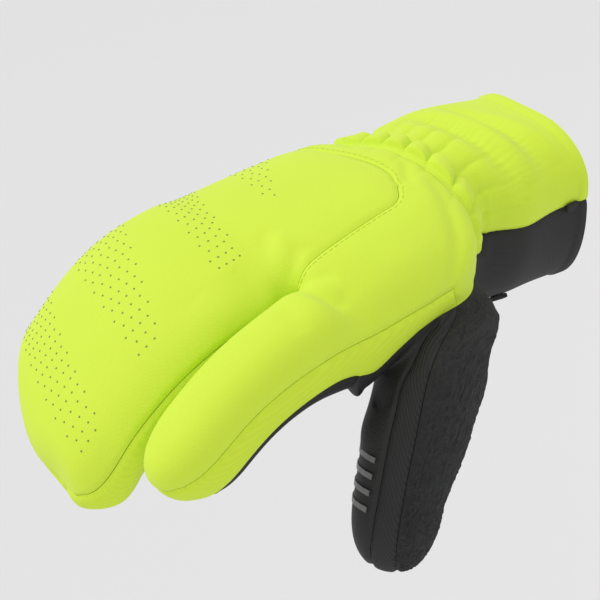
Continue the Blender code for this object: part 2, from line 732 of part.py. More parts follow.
Panel = namedtuple("Panel", "name wall material")
PANELS = [
    Panel("mitten_back", SHELL_WALL, "softshell"),
    Panel("hand_back", SHELL_WALL, "softshell"),
    Panel("fourchette", SHELL_WALL, "softshell"),
    Panel("mitten_gusset", SHELL_WALL, "softshell"),
    Panel("index_gusset", SHELL_WALL, "softshell"),
    Panel("palm_panel", PALM_WALL, "leather"),
    Panel("thumb_back", FLEECE_WALL, "fleece"),
    Panel("thumb_band", PALM_WALL, "twill"),
    Panel("thumb_pad", PALM_WALL, "leather"),
    Panel("wrist_gather", CUFF_WALL, "softshell"),
    Panel("cuff_back", CUFF_WALL, "softshell"),
    Panel("cuff_palm", CUFF_WALL, "twill"),
]


def main():
    for obj in list(bpy.data.objects):
        bpy.data.objects.remove(obj)
    collection = bpy.data.collections.new("winter_cycling_glove")
    bpy.context.scene.collection.children.link(collection)
    materials = {
        "softshell": make_material("softshell", NEON, 0.75),
        "leather": make_material("leather", BLACK, 0.6),
        "fleece": make_material("fleece", CHARCOAL, 0.95),
        "twill": make_material("twill", CHARCOAL, 0.8),
        "silicone": make_material("silicone", GREY, 0.45),
        "webbing": make_material("webbing", BLACK, 0.85),
    }
    skin = build_skin()
    faces, normals = outward(skin)
    for panel in PANELS:
        own = [keys for (name, _), keys in zip(skin.faces, faces) if name == panel.name]
        source = (own, skin.places, normals)
        if panel.name == "wrist_gather":
            source = gather_faces(skin, normals)
        points, polygons = panel_wall(*source, panel.wall)
        add_object(panel.name, points, polygons, materials[panel.material], collection)
    for number in range(BAR_COUNT):
        points, polygons = grip_bar(number)
        add_object(f"grip_bar_{number + 1}", points, polygons, materials["silicone"], collection)
    last_row = len(TRUNK_ROWS) - 2
    add_tab("wrist_tab", skin, normals, CUFF_ROW + 3, PALM_START + 4, WRIST_TAB, materials["webbing"], collection)
    add_tab("hem_tab", skin, normals, last_row, PALM_START, HEM_TAB, materials["webbing"], collection)


if __name__ == "__main__":
    main()
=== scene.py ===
"""Looks of the winter cycling glove, built over its frame. It is laid out as an add-on and run as a script.

The glove's skin is lofted through tables of sections, as its frame is, and made fine with a Subdivision
Surface. Seams, puffs, pleats and soft folds are then worked into it, and it is cut along its seams into cloth
panels. Topstitches and printed dots are laid on it as small beads.
"""

import json
import math
from collections import namedtuple
from functools import lru_cache

import bmesh
import bpy
import numpy as np
from bpy.props import FloatProperty, FloatVectorProperty, PointerProperty
from mathutils import Matrix, Vector
from mathutils.bvhtree import BVHTree
from mathutils.kdtree import KDTree

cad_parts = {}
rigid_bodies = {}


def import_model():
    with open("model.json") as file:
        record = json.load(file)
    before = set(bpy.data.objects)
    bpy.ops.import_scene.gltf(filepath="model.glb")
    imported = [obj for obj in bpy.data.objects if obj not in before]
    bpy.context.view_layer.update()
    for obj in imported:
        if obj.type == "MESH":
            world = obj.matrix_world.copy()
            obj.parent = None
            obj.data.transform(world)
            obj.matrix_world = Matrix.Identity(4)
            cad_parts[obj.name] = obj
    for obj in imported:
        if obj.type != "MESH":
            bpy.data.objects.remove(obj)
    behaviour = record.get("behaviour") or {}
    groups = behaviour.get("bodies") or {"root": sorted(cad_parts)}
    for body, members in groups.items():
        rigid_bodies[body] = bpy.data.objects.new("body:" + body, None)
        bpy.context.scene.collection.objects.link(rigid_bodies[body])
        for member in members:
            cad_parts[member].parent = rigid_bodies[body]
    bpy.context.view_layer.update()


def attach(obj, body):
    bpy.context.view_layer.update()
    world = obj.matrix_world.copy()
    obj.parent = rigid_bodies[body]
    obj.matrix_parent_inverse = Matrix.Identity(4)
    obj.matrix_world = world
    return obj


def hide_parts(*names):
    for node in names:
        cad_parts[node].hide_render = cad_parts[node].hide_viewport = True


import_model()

bl_info = {
    "name": "Winter Cycling Glove",
    "version": (1, 0, 0),
    "blender": (4, 5, 0),
    "location": "View3D > Sidebar > Glove",
    "description": "Builds a padded winter cycling glove with a mitten, an index finger and a gathered wrist",
    "category": "Object",
}


def linear(code):
    """The linear colour of an sRGB hex code."""
    parts = [int(code[k:k + 2], 16) / 255 for k in (0, 2, 4)]
    return tuple(p / 12.92 if p <= 0.04045 else ((p + 0.055) / 1.055) ** 2.4 for p in parts)


# Lengths along the hand.
CUFF_LENGTH = 0.073
PALM_LENGTH = 0.094
MITTEN_LENGTH = 0.101
INDEX_LENGTH = 0.071
THUMB_LENGTH = 0.082

# Widths and depths over the outside of the padded walls.
HEM_WIDTH = 0.076
HEM_DEPTH = 0.086
WRIST_WIDTH = 0.082
WRIST_DEPTH = 0.053
PALM_WIDTH = 0.122
PALM_DEPTH = 0.050
FINGER_DEPTH = 0.034
INDEX_WIDTH = 0.033
THUMB_WIDTH = 0.037
THUMB_DEPTH = 0.038

# Seams and small features.
SEAM_GAP = 0.0004
SLIT_GAP = 0.0016
GATHER_WIDTH = 0.013
CREASE_LENGTH = 0.016
CORNER_RADIUS = 0.022

# The exponent of the sections' rounded form: 2 is an ellipse, and more is boxier.
ROUNDNESS = 2.4

# How many faces each stretch of the skin has.
MITTEN_COLUMNS = 12
INDEX_COLUMNS = 6
ALL_COLUMNS = MITTEN_COLUMNS + INDEX_COLUMNS
HOLE_COLUMNS = 5
FINGER_ROWS = 5
TIP_ROWS = 5
KNUCKLE_ROWS = 2
WEB_ROWS = 5
FLEECE_ROWS = 4
GATHER_ROWS = 4
CUFF_ROWS = 7
ROOT_ROWS = 3
THUMB_ROWS = 4
# How many columns the fourchette goes round a tip before its joint seam.
JOINT_COLUMNS = 2

# Sections of the cuff and the hand, from the hem (-1) through the wrist (0) and the crotch (1) to just
# past where the fingers' tips start to round. Each row names the width and the depth that its shares are of.
Section = namedtuple("Section", "at width depth ulnar slit radial back palm seam")
SECTIONS = [
    Section(-1.00, HEM_WIDTH, HEM_DEPTH, -0.48, 0.10, 0.53, 0.27, 0.71, 0.06),
    Section(-0.75, HEM_WIDTH, HEM_DEPTH, -0.51, 0.10, 0.52, 0.30, 0.70, 0.06),
    Section(-0.45, HEM_WIDTH, HEM_DEPTH, -0.55, 0.10, 0.53, 0.32, 0.67, 0.06),
    Section(-0.20, HEM_WIDTH, HEM_DEPTH, -0.54, 0.10, 0.44, 0.32, 0.62, 0.06),
    Section(0.00, WRIST_WIDTH, WRIST_DEPTH, -0.53, 0.14, 0.485, 0.55, 0.54, 0.08),
    Section(0.18, PALM_WIDTH, PALM_DEPTH, -0.42, 0.19, 0.46, 0.57, 0.54, 0.07),
    Section(0.45, PALM_WIDTH, PALM_DEPTH, -0.45, 0.20, 0.50, 0.54, 0.52, 0.09),
    Section(0.75, PALM_WIDTH, PALM_DEPTH, -0.48, 0.21, 0.51, 0.50, 0.46, 0.12),
    Section(1.00, PALM_WIDTH, PALM_DEPTH, -0.51, 0.22, 0.50, 0.44, 0.36, 0.13),
    Section(1.40, PALM_WIDTH, FINGER_DEPTH, -0.53, 0.22, 0.51, 0.56, 0.44, 0.20),
    Section(1.70, PALM_WIDTH, FINGER_DEPTH, -0.52, 0.22, 0.52, 0.54, 0.42, 0.20),
]

# How the hand's spine dips towards the palm and swings to the thumb side, in degrees. The index finger turns
# away from the mitten by its own extra columns beyond the crotch.
Bend = namedtuple("Bend", "at dip swing index_dip index_swing")
BENDS = [
    Bend(-1.0, 6.5, -12.0, 0.0, 0.0),
    Bend(0.0, 0.0, 0.0, 0.0, 0.0),
    Bend(0.7, 3.0, 0.0, 0.0, 0.0),
    Bend(1.0, 5.0, -1.0, 0.0, 0.0),
    Bend(1.5, 40.0, -7.0, -3.0, 1.2),
    Bend(2.0, 51.0, -7.0, -4.0, 1.2),
]

# Where each finger's tip starts to round, and how far it slants to the thumb side.
MITTEN_TIP_FROM = 1.64
MITTEN_TIP_SLANT = 0.5
INDEX_TIP_FROM = 1.62
INDEX_TIP_SLANT = 0.0

# The thumb's own sections from its root (0) to its tip (1), as shares of THUMB_WIDTH and THUMB_DEPTH, with
# its bend to the pad's side in degrees.
ThumbSection = namedtuple("ThumbSection", "at side nail pad seam bend")
THUMB_SECTIONS = [
    ThumbSection(0.00, 0.54, 0.62, 0.50, 0.13, 0.0),
    ThumbSection(0.35, 0.50, 0.54, 0.48, 0.13, -1.0),
    ThumbSection(0.62, 0.46, 0.44, 0.46, 0.13, -3.0),
    ThumbSection(1.00, 0.42, 0.42, 0.42, 0.13, -4.0),
]
THUMB_TIP_FROM = 0.62
# How strongly the skin leaves the thumb's opening along the thumb and outwards, which makes the web and the
# thumb's base.
ROOT_AIM = 0.5
ROOT_BULGE = 0.1
THUMB_AXIS = Vector((0.16, -0.40, -0.74))
THUMB_BAND = Vector((0.32, -0.60, 0.67))
# Where the thumb's root lies, as shares of PALM_WIDTH, PALM_LENGTH and PALM_DEPTH.
THUMB_ROOT = (0.518, 0.525, -0.52)

# The thumb's opening, its twill band and the mitten panel's proximal seam, as shares of PALM_LENGTH.
BAND_FROM = 0.36
BAND_TO = 0.46
HOLE_TO = 0.88
PANEL_END = 0.18
PANEL_SLANT = 0.10

# Stretches along the hand: where the rows shift to follow that seam, where the slit opens, where the index
# finger takes its own width, and where it turns away from the mitten.
SHIFT_FROM, SHIFT_TO = 0.10, 0.95
SLIT_OPENS = (1.0, 1.1)
INDEX_FORMS = (0.9, 1.25)
INDEX_TURNS = (1.0, 1.3)


def smooth(x, low, high):
    t = np.clip((np.asarray(x, float) - low) / (high - low), 0.0, 1.0)
    return t * t * (3.0 - 2.0 * t)


def curve_through(xs, ys, at):
    """A smooth curve through points, read at any place between them."""
    xs, ys = np.asarray(xs, float), np.asarray(ys, float)
    at = np.clip(np.asarray(at, float), xs[0], xs[-1])
    slopes = np.gradient(ys, xs)
    i = np.clip(np.searchsorted(xs, at, side="right") - 1, 0, len(xs) - 2)
    h = xs[i + 1] - xs[i]
    t = (at - xs[i]) / h
    rise = (3 * t**2 - 2 * t**3) * (ys[i + 1] - ys[i])
    return ys[i] + rise + h * ((t**3 - 2 * t**2 + t) * slopes[i] + (t**3 - t**2) * slopes[i + 1])


def follow(rows, name, at, of=None):
    """A table's column at any place, times the size that each row names."""
    shares = [getattr(row, name) * (getattr(row, of) if of else 1.0) for row in rows]
    return curve_through([row.at for row in rows], shares, at)


@lru_cache(maxsize=None)
def section(name, at, of="depth"):
    """A size of the hand's or the cuff's section at one place."""
    return float(follow(SECTIONS, name, at, of))


def rounded(x, y, z):
    """How far the rounded form reaches in a direction, where its half sizes are 1."""
    return (abs(x) ** ROUNDNESS + abs(y) ** ROUNDNESS + abs(z) ** ROUNDNESS) ** (-1.0 / ROUNDNESS)


class Spine:
    """A bent centre line with a frame, which turns lengths along, across and up into a point."""

    STEPS = 400
    END = 2.1

    def __init__(self, finger_length, share):
        self.at = np.linspace(-1.0, self.END, self.STEPS)
        length = (np.minimum(self.at, 0) * CUFF_LENGTH + np.clip(self.at, 0, 1) * PALM_LENGTH
                  + np.maximum(self.at - 1, 0) * finger_length)
        own = share * smooth(self.at, *INDEX_TURNS)
        dip = np.radians(follow(BENDS, "dip", self.at) + own * follow(BENDS, "index_dip", self.at))
        swing = np.radians(follow(BENDS, "swing", self.at) + own * follow(BENDS, "index_swing", self.at))
        flat = np.zeros_like(swing)
        self.along = np.stack([np.sin(swing) * np.cos(dip), -np.cos(swing) * np.cos(dip), -np.sin(dip)], 1)
        self.across = np.stack([np.cos(swing), np.sin(swing), flat], 1)
        self.up = np.cross(self.across, -self.along)
        steps = (self.along[1:] + self.along[:-1]) / 2 * np.diff(length)[:, None]
        self.line = np.concatenate([np.zeros((1, 3)), np.cumsum(steps, 0)])
        self.line -= self.frame(0.0)[0]

    def frame(self, at):
        """The spine's own point, its direction across and its direction up, between its nearest steps."""
        k = (at - self.at[0]) / (self.at[-1] - self.at[0]) * (self.STEPS - 1)
        low = min(int(k), self.STEPS - 2)
        return [v[low] + (v[low + 1] - v[low]) * (k - low) for v in (self.line, self.across, self.up)]

    def place(self, at, across, up):
        middle, side, top = self.frame(at)
        return middle + side * across + top * up


MITTEN_SPINE = Spine(MITTEN_LENGTH, 0.0)
INDEX_SPINE = Spine(INDEX_LENGTH, 1.0)

Pod = namedtuple("Pod", "name spine first last tip_from slant")
MITTEN = Pod("mitten", MITTEN_SPINE, 0, MITTEN_COLUMNS, MITTEN_TIP_FROM, MITTEN_TIP_SLANT)
INDEX = Pod("index", INDEX_SPINE, MITTEN_COLUMNS, ALL_COLUMNS, INDEX_TIP_FROM, INDEX_TIP_SLANT)


def hand_span(at):
    """Where the hand's ulnar side, the slit and the radial side are across the spine."""
    return [section(name, at, "width") for name in ("ulnar", "slit", "radial")]


def pod_span(pod, at):
    """Centre and half width of the mitten or of the index finger."""
    ulnar, slit, radial = hand_span(at)
    gap = SLIT_GAP / 2 * float(smooth(at, *SLIT_OPENS))
    if pod is MITTEN:
        low, high = ulnar, slit - gap
    else:
        wanted = float(smooth(at, *INDEX_FORMS))
        low = slit + gap
        high = radial * (1 - wanted) + (low + INDEX_WIDTH) * wanted
    return (low + high) / 2, (high - low) / 2


def rises(at, side):
    """How high the section is on the back (side 1) or the palm (-1), and the height of the seam there."""
    return section("back" if side >= 0 else "palm", at), section("seam", at)


def on_form(centre, half, rise, direction):
    """Across, along (as a share) and up of the rounded form's point in a direction."""
    x, y, z = direction
    reach = rounded(x, y, z)
    return centre + half * x * reach, y * reach, rise * z * reach


def sheet_direction(x, y, edge_angle):
    """The direction that a place on a sheet's plan, at most 1 from its centre, has on the rounded form."""
    out = math.hypot(x, y)
    if out < 1e-9:
        return 0.0, 0.0, 1.0
    lean = out * (math.pi / 2 - edge_angle)
    return x / out * math.sin(lean), y / out * math.sin(lean), math.cos(lean)


def seam_angle(rise, seam):
    return math.asin(min(0.9, seam / rise))


def pod_sheet(pod, at, t, side):
    centre, half = pod_span(pod, at)
    rise, seam = rises(at, side)
    across, _, up = on_form(centre, half, rise, sheet_direction(t, 0.0, seam_angle(rise, seam)))
    return across, side * up


def hand_sheet(at, column, side):
    """Across and up of the hand's back or palm. Columns run from the ulnar seam to the radial seam."""
    rise, seam = rises(at, side)
    ulnar, slit, radial = hand_span(at)
    centre, half = (ulnar + radial) / 2, (radial - ulnar) / 2
    lean = math.pi / 2 - seam_angle(rise, seam)
    split = math.asin((slit - centre) / half) / lean
    if column <= MITTEN_COLUMNS:
        share = column / MITTEN_COLUMNS
        t = -1 + (split + 1) * share
    else:
        share = (column - MITTEN_COLUMNS) / INDEX_COLUMNS
        t = split + (1 - split) * share
    across, _, up = on_form(centre, half, rise, sheet_direction(t, 0.0, math.pi / 2 - lean))
    parted = float(smooth(at, 1.0 - CREASE_LENGTH / PALM_LENGTH, 1.0)) ** 1.5
    if parted > 0:
        pod = MITTEN if column <= MITTEN_COLUMNS else INDEX
        pod_across, pod_up = pod_sheet(pod, at, 2 * share - 1, side)
        if column == MITTEN_COLUMNS:
            pod_across = slit
        across += (pod_across - across) * parted
        up += (abs(pod_up) - up) * parted
    return across, side * up


def tip_direction(t, s, side, edge_angle):
    """The direction of a place on a rounded tip, whose grid is half a disc with square corners."""
    x, y = t * math.sqrt(1 - s * s / 2), s * math.sqrt(1 - t * t / 2)
    if side:
        return sheet_direction(x, y, edge_angle)
    return x / math.hypot(x, y), y / math.hypot(x, y), 0.0


def tip_place(pod, t, s, side):
    """At, across and up on a finger's rounded tip."""
    centre, half = pod_span(pod, pod.tip_from)
    rise, seam = rises(pod.tip_from, side)
    across, along, up = on_form(centre, half, rise, tip_direction(t, s, side, seam_angle(rise, seam)))
    slant = 1 + pod.slant * (across - centre) / half
    return pod.tip_from + (2.0 - pod.tip_from) * along * slant, across, side * up


def stretch(low, high, count):
    return [low + (high - low) * k / count for k in range(count)]


# The rows of the skin from the crotch to the hem. The thumb's opening and its band begin and end on rows.
HAND_EDGE = GATHER_WIDTH / 2 / PALM_LENGTH
CUFF_EDGE = -GATHER_WIDTH / 2 / CUFF_LENGTH
HAND_ROWS = (stretch(1.0, HOLE_TO, KNUCKLE_ROWS) + stretch(HOLE_TO, BAND_TO, WEB_ROWS)
             + stretch(BAND_TO, BAND_FROM, 2) + stretch(BAND_FROM, HAND_EDGE, FLEECE_ROWS))
TRUNK_ROWS = (HAND_ROWS + stretch(HAND_EDGE, CUFF_EDGE, GATHER_ROWS)
              + stretch(CUFF_EDGE, -1.0, CUFF_ROWS) + [-1.0])
HOLE_ROW = KNUCKLE_ROWS
GUSSET_ROW = KNUCKLE_ROWS + WEB_ROWS + 2
PANEL_ROW = GUSSET_ROW + FLEECE_ROWS // 2
WRIST_ROW = len(HAND_ROWS)
HOLE_END = WRIST_ROW - 1
CUFF_ROW = WRIST_ROW + GATHER_ROWS

# Each ring of points runs along the back, down the radial side, back along the palm and up the ulnar side.
RADIAL = ALL_COLUMNS + 1
PALM_START = ALL_COLUMNS + 2
PALM_END = 2 * ALL_COLUMNS + 2
ULNAR = PALM_END + 1
RING = PALM_END + 2


def panel_shift(at, column):
    """How far the back's rows and columns move so that the mitten panel's seam follows them."""
    seam_at = TRUNK_ROWS[PANEL_ROW]
    strength = smooth(at, SHIFT_FROM, seam_at) if at < seam_at else smooth(-at, -SHIFT_TO, -seam_at)
    fade = 1 - smooth(column, MITTEN_COLUMNS + 1, ALL_COLUMNS - 1)
    slanted = PANEL_END + PANEL_SLANT * (1 - column / MITTEN_COLUMNS)
    along_shift = float((slanted - seam_at) * strength * fade)
    ulnar, slit, _ = hand_span(at)
    column_width = (slit - ulnar) / MITTEN_COLUMNS
    along = (at + along_shift - PANEL_END) * PALM_LENGTH
    out = (column - MITTEN_COLUMNS) * column_width
    near = max(0.0, 1 - max(abs(along), abs(out)) / CORNER_RADIUS)
    corner = (1 - math.sqrt(0.5)) * CORNER_RADIUS * near**2
    return along_shift + corner / PALM_LENGTH, -corner / column_width


class Skin:
    """The glove's outer surface. Points have names, so that neighbouring faces share them."""

    def __init__(self):
        self.places = {}
        self.faces = []

    def put(self, key, placed):
        """Keeps a named point. placed() works out its place, the first time that the name comes."""
        if key not in self.places:
            self.places[key] = placed()
        return key

    def face(self, panel, *keys):
        self.faces.append((panel, keys))


def cell(row, column):
    """The corners of one face of a grid, in order."""
    return (row, column), (row, column + 1), (row + 1, column + 1), (row + 1, column)


def trunk_place(row, ring):
    """A place on the hand or the cuff."""
    at = TRUNK_ROWS[row]
    if ring <= ALL_COLUMNS:
        shift_at, shift_column = panel_shift(at, ring) if 0 < row < WRIST_ROW else (0.0, 0.0)
        across, up = hand_sheet(at + shift_at, ring + shift_column, 1)
        return MITTEN_SPINE.place(at + shift_at, across, up)
    if PALM_START <= ring <= PALM_END:
        return MITTEN_SPINE.place(at, *hand_sheet(at, PALM_END - ring, -1))
    ulnar, _, radial = hand_span(at)
    return MITTEN_SPINE.place(at, radial if ring == RADIAL else ulnar, 0.0)


def trunk_point(skin, row, ring):
    ring %= RING
    return skin.put(("trunk", row, ring), lambda: trunk_place(row, ring))


def trunk_panel(row, ring):
    """The panel that owns a face of the hand or the cuff, or None in the thumb's opening. The thumb's fleece
    runs on to the wrist below the opening."""
    on_palm = PALM_START <= ring < PALM_END
    if row >= WRIST_ROW:
        back = "cuff_back" if row >= CUFF_ROW else "wrist_gather"
        return "cuff_palm" if on_palm else back
    if on_palm:
        if row < HOLE_ROW or ring >= PALM_START + HOLE_COLUMNS:
            return "palm_panel"
        return None if row < HOLE_END else "thumb_back"
    if ring < ALL_COLUMNS:
        return "mitten_back" if ring < MITTEN_COLUMNS and row < PANEL_ROW else "hand_back"
    side = "index_gusset" if ring <= RADIAL else "mitten_gusset"
    return side if row < GUSSET_ROW else "hand_back"


def add_trunk(skin):
    for row in range(len(TRUNK_ROWS) - 1):
        for ring in range(RING):
            panel = trunk_panel(row, ring)
            if panel:
                skin.face(panel, *[trunk_point(skin, *corner) for corner in cell(row, ring)])


def pod_place(pod, row, column, side):
    """A place on a finger. Side 1 is its back, -1 its palm and 0 the middle of its side band."""
    t = 2 * (column - pod.first) / (pod.last - pod.first) - 1
    if row > FINGER_ROWS:
        return pod.spine.place(*tip_place(pod, t, (row - FINGER_ROWS) / TIP_ROWS, side))
    at = 1.0 + (pod.tip_from - 1.0) * row / FINGER_ROWS
    if side:
        return pod.spine.place(at, *pod_sheet(pod, at, t, side))
    centre, half = pod_span(pod, at)
    return pod.spine.place(at, centre + half * t, 0.0)


def pod_point(skin, pod, row, column, side):
    if row:
        return skin.put((pod.name, row, column, side), lambda: pod_place(pod, row, column, side))
    if side:
        return trunk_point(skin, 0, column if side > 0 else PALM_END - column)
    if column == MITTEN_COLUMNS:
        return skin.put("crotch", lambda: MITTEN_SPINE.place(1.0, hand_span(1.0)[1], 0.0))
    return trunk_point(skin, 0, RADIAL if column else ULNAR)


def border_of_tip(first, last, rows):
    """A finger's border as (row, column), from its first column round the tip to its last column."""
    there = [(row, first) for row in range(rows)] + [(rows, column) for column in range(first, last)]
    return there + [(row, last) for row in range(rows, -1, -1)]


def add_sheets_and_band(skin, point, first, last, rows, panels, band):
    """The two sheets of a finger and the band between them. The band's panel depends on the place."""
    for side, panel in ((1, panels[0]), (-1, panels[1])):
        for row in range(rows):
            for column in range(first, last):
                skin.face(panel, *[point(*corner, side) for corner in cell(row, column)[::side]])
    border = border_of_tip(first, last, rows)
    for k, (start, end) in enumerate(zip(border, border[1:])):
        for upper, lower in ((1, 0), (0, -1)):
            ends = (start, upper), (end, upper), (end, lower), (start, lower)
            skin.face(band(k), *[point(*place, level) for place, level in ends])


def add_pod(skin, pod):
    """A finger. Its band on the slit's side is the fourchette, which ends a little way round the tip."""
    rows = FINGER_ROWS + TIP_ROWS
    back, outer = ("mitten_back", "mitten_gusset") if pod is MITTEN else ("hand_back", "index_gusset")
    before_joint = rows + JOINT_COLUMNS if pod is INDEX else rows + MITTEN_COLUMNS - JOINT_COLUMNS

    def band(k):
        in_slit = k < before_joint if pod is INDEX else k >= before_joint
        return "fourchette" if in_slit else outer

    def point(row, column, side):
        return pod_point(skin, pod, row, column, side)

    add_sheets_and_band(skin, point, pod.first, pod.last, rows, (back, "palm_panel"), band)


class ThumbFrame:
    """The thumb's bent centre line, from its root, with the directions of its band and of its nail."""

    def __init__(self):
        axis = THUMB_AXIS.normalized()
        band = (THUMB_BAND - axis * THUMB_BAND.dot(axis)).normalized()
        self.axis, self.band, self.nail = np.array(axis), np.array(band), np.array(band.cross(axis))
        shares = zip(THUMB_ROOT, (PALM_WIDTH, -PALM_LENGTH, PALM_DEPTH))
        self.root = np.array([share * size for share, size in shares])

    def turned(self, degrees):
        bend = math.radians(degrees)
        return (self.axis * math.cos(bend) - self.nail * math.sin(bend),
                self.nail * math.cos(bend) + self.axis * math.sin(bend))

    def place(self, at, along_band, out):
        bends = follow(THUMB_SECTIONS, "bend", np.linspace(0.0, at, 24))
        line = np.mean([self.turned(bend)[0] for bend in bends], axis=0) * at * THUMB_LENGTH
        return self.root + line + self.band * along_band + self.turned(bends[-1])[1] * out


THUMB_FRAME = ThumbFrame()
THUMB_COLUMNS = HOLE_COLUMNS + HOLE_END - HOLE_ROW - 2
THUMB_RING = 2 * THUMB_COLUMNS + 4


def thumb_place(at, t, s, side):
    """A place on the thumb. t runs from its lower to its upper band, and s rounds the tip."""
    half = float(follow(THUMB_SECTIONS, "side", at)) * THUMB_WIDTH
    seam = float(follow(THUMB_SECTIONS, "seam", at)) * THUMB_DEPTH
    rise = float(follow(THUMB_SECTIONS, "nail" if side >= 0 else "pad", at)) * THUMB_DEPTH
    across, along, up = on_form(0.0, half, rise, tip_direction(t, s, side, seam_angle(rise, seam)))
    return THUMB_FRAME.place(at + (1.0 - THUMB_TIP_FROM) * along, across, side * up)


def thumb_ring():
    """The thumb's ring as (t, side): up over the nail's side, the upper band, the pad, the lower band."""
    nail = [(2 * k / THUMB_COLUMNS - 1, 1) for k in range(THUMB_COLUMNS + 1)]
    pad = [(-t, -side) for t, side in nail]
    return nail + [(1, 0)] + pad + [(-1, 0)]


def hole_ring():
    """The opening's points as (row, ring), in the same order as the thumb's ring."""
    inner = PALM_START + HOLE_COLUMNS
    upper = [(row, PALM_START) for row in range(HOLE_END, HOLE_ROW, -1)]
    fingers = [(HOLE_ROW, ring) for ring in range(PALM_START, inner)]
    lower = [(row, inner) for row in range(HOLE_ROW, HOLE_END)]
    wrist = [(HOLE_END, ring) for ring in range(inner, PALM_START, -1)]
    loop = upper + fingers + lower + wrist
    start = len(loop) - THUMB_COLUMNS + FLEECE_ROWS - 1
    return loop[start:] + loop[:start]


def root_place(start, t, side, share):
    """A place between the opening and the thumb's root, leaving the opening outwards."""
    end = thumb_place(0.0, t, 0.0, side)
    reach = np.linalg.norm(end - start)
    out = start - THUMB_FRAME.root
    out -= THUMB_FRAME.axis * out.dot(THUMB_FRAME.axis)
    out /= np.linalg.norm(out)
    leave = (share**3 - 2 * share**2 + share) * reach
    arrive = (share**3 - share**2) * reach
    line = start + (end - start) * share * share * (3 - 2 * share)
    return line + (ROOT_AIM * THUMB_FRAME.axis + ROOT_BULGE * out) * leave + THUMB_FRAME.axis * arrive


def thumb_point(skin, row, k):
    k %= THUMB_RING
    opening = trunk_point(skin, *hole_ring()[k])
    if row == 0:
        return opening
    t, side = thumb_ring()[k]
    if row < ROOT_ROWS:
        return skin.put(("thumb", row, k), lambda: root_place(skin.places[opening], t, side, row / ROOT_ROWS))
    at = THUMB_TIP_FROM * (row - ROOT_ROWS) / THUMB_ROWS
    return skin.put(("thumb", row, k), lambda: thumb_place(at, t, 0.0, side))


def thumb_panel(k):
    if k < THUMB_COLUMNS:
        return "thumb_back"
    on_pad = THUMB_COLUMNS + 2 <= k < 2 * THUMB_COLUMNS + 2
    return "thumb_pad" if on_pad else "thumb_band"


def add_thumb(skin):
    body = ROOT_ROWS + THUMB_ROWS
    for row in range(body):
        for k in range(THUMB_RING):
            skin.face(thumb_panel(k), *[thumb_point(skin, *corner) for corner in cell(row, k)])

    def point(row, column, side):
        if row == 0:
            middle = THUMB_COLUMNS + 1 if column else THUMB_RING - 1
            return thumb_point(skin, body, {1: column, -1: 2 * THUMB_COLUMNS + 2 - column}.get(side, middle))
        t = 2 * column / THUMB_COLUMNS - 1
        key = "thumb tip", row, column, side
        return skin.put(key, lambda: thumb_place(THUMB_TIP_FROM, t, row / TIP_ROWS, side))

    panels = "thumb_back", "thumb_pad"
    add_sheets_and_band(skin, point, 0, THUMB_COLUMNS, TIP_ROWS, panels, lambda k: "thumb_band")


def build_skin():
    skin = Skin()
    add_trunk(skin)
    add_pod(skin, MITTEN)
    add_pod(skin, INDEX)
    add_thumb(skin)
    return skin


# How each panel is finished: its wall, how far its padding swells, the frame's material slot and its fill.
Finish = namedtuple("Finish", "name wall swell slot fill")
FINISHES = [
    Finish("mitten_back", 0.0026, 0.0009, "softshell", 0.55),
    Finish("hand_back", 0.0026, 0.0009, "softshell", 0.55),
    Finish("fourchette", 0.0020, 0.0004, "softshell", 0.4),
    Finish("mitten_gusset", 0.0020, 0.0004, "softshell", 0.4),
    Finish("index_gusset", 0.0020, 0.0004, "softshell", 0.4),
    Finish("palm_panel", 0.0022, 0.0005, "leather", 0.4),
    Finish("thumb_back", 0.0028, 0.0008, "fleece", 0.5),
    Finish("thumb_band", 0.0022, 0.0002, "twill", 0.4),
    Finish("thumb_pad", 0.0022, 0.0005, "leather", 0.4),
    Finish("wrist_gather", 0.0022, 0.0002, "softshell", 0.5),
    Finish("cuff_back", 0.0022, 0.0004, "softshell", 0.35),
    Finish("cuff_palm", 0.0022, 0.0004, "twill", 0.35),
]
PANEL_INDEX = {finish.name: number for number, finish in enumerate(FINISHES)}

# Soft folds on the backs of the mitten, the hand and the cuff, from one place (at, column) to another. Width
# and height are in metres.
Fold = namedtuple("Fold", "at column end_at end_column width height")
FOLDS = [
    Fold(0.965, 11.6, 0.84, 9.0, 0.0040, -0.0012),
    Fold(0.975, 12.0, 0.80, 11.0, 0.0034, -0.0014),
    Fold(0.975, 12.4, 0.80, 13.4, 0.0034, -0.0016),
    Fold(0.970, 13.2, 0.90, 15.8, 0.0040, -0.0014),
    Fold(1.06, 13.6, 1.10, 16.4, 0.0045, -0.0010),
    Fold(0.93, 10.6, 0.78, 9.9, 0.0045, 0.0010),
    Fold(0.94, 12.9, 0.86, 14.6, 0.0045, 0.0012),
    Fold(1.02, 11.0, 1.04, 8.6, 0.0050, -0.0010),
    Fold(1.16, 11.2, 1.20, 9.0, 0.0060, 0.0008),
    Fold(0.80, 16.4, 0.52, 16.8, 0.0060, -0.0009),
    Fold(0.62, 14.0, 0.40, 15.5, 0.0070, 0.0008),
    Fold(0.12, 12.6, 0.42, 17.6, 0.0034, -0.0016),
    Fold(0.06, 14.6, 0.34, 18.0, 0.0050, 0.0009),
    Fold(0.10, 10.4, 0.22, 11.4, 0.0026, -0.0012),
    Fold(1.00, 12.0, 0.93, 12.1, 0.0022, -0.0022),
    Fold(-0.34, 6.0, -0.44, 17.8, 0.0046, -0.0030),
    Fold(-0.22, 8.5, -0.34, 17.0, 0.0060, 0.0018),
    Fold(-0.48, 8.0, -0.56, 16.5, 0.0060, 0.0022),
    Fold(-0.56, 7.0, -0.70, 17.4, 0.0044, -0.0022),
    Fold(-0.72, 9.5, -0.84, 16.0, 0.0050, 0.0014),
    Fold(-0.74, 14.0, -0.80, 18.0, 0.0034, -0.0009),
]

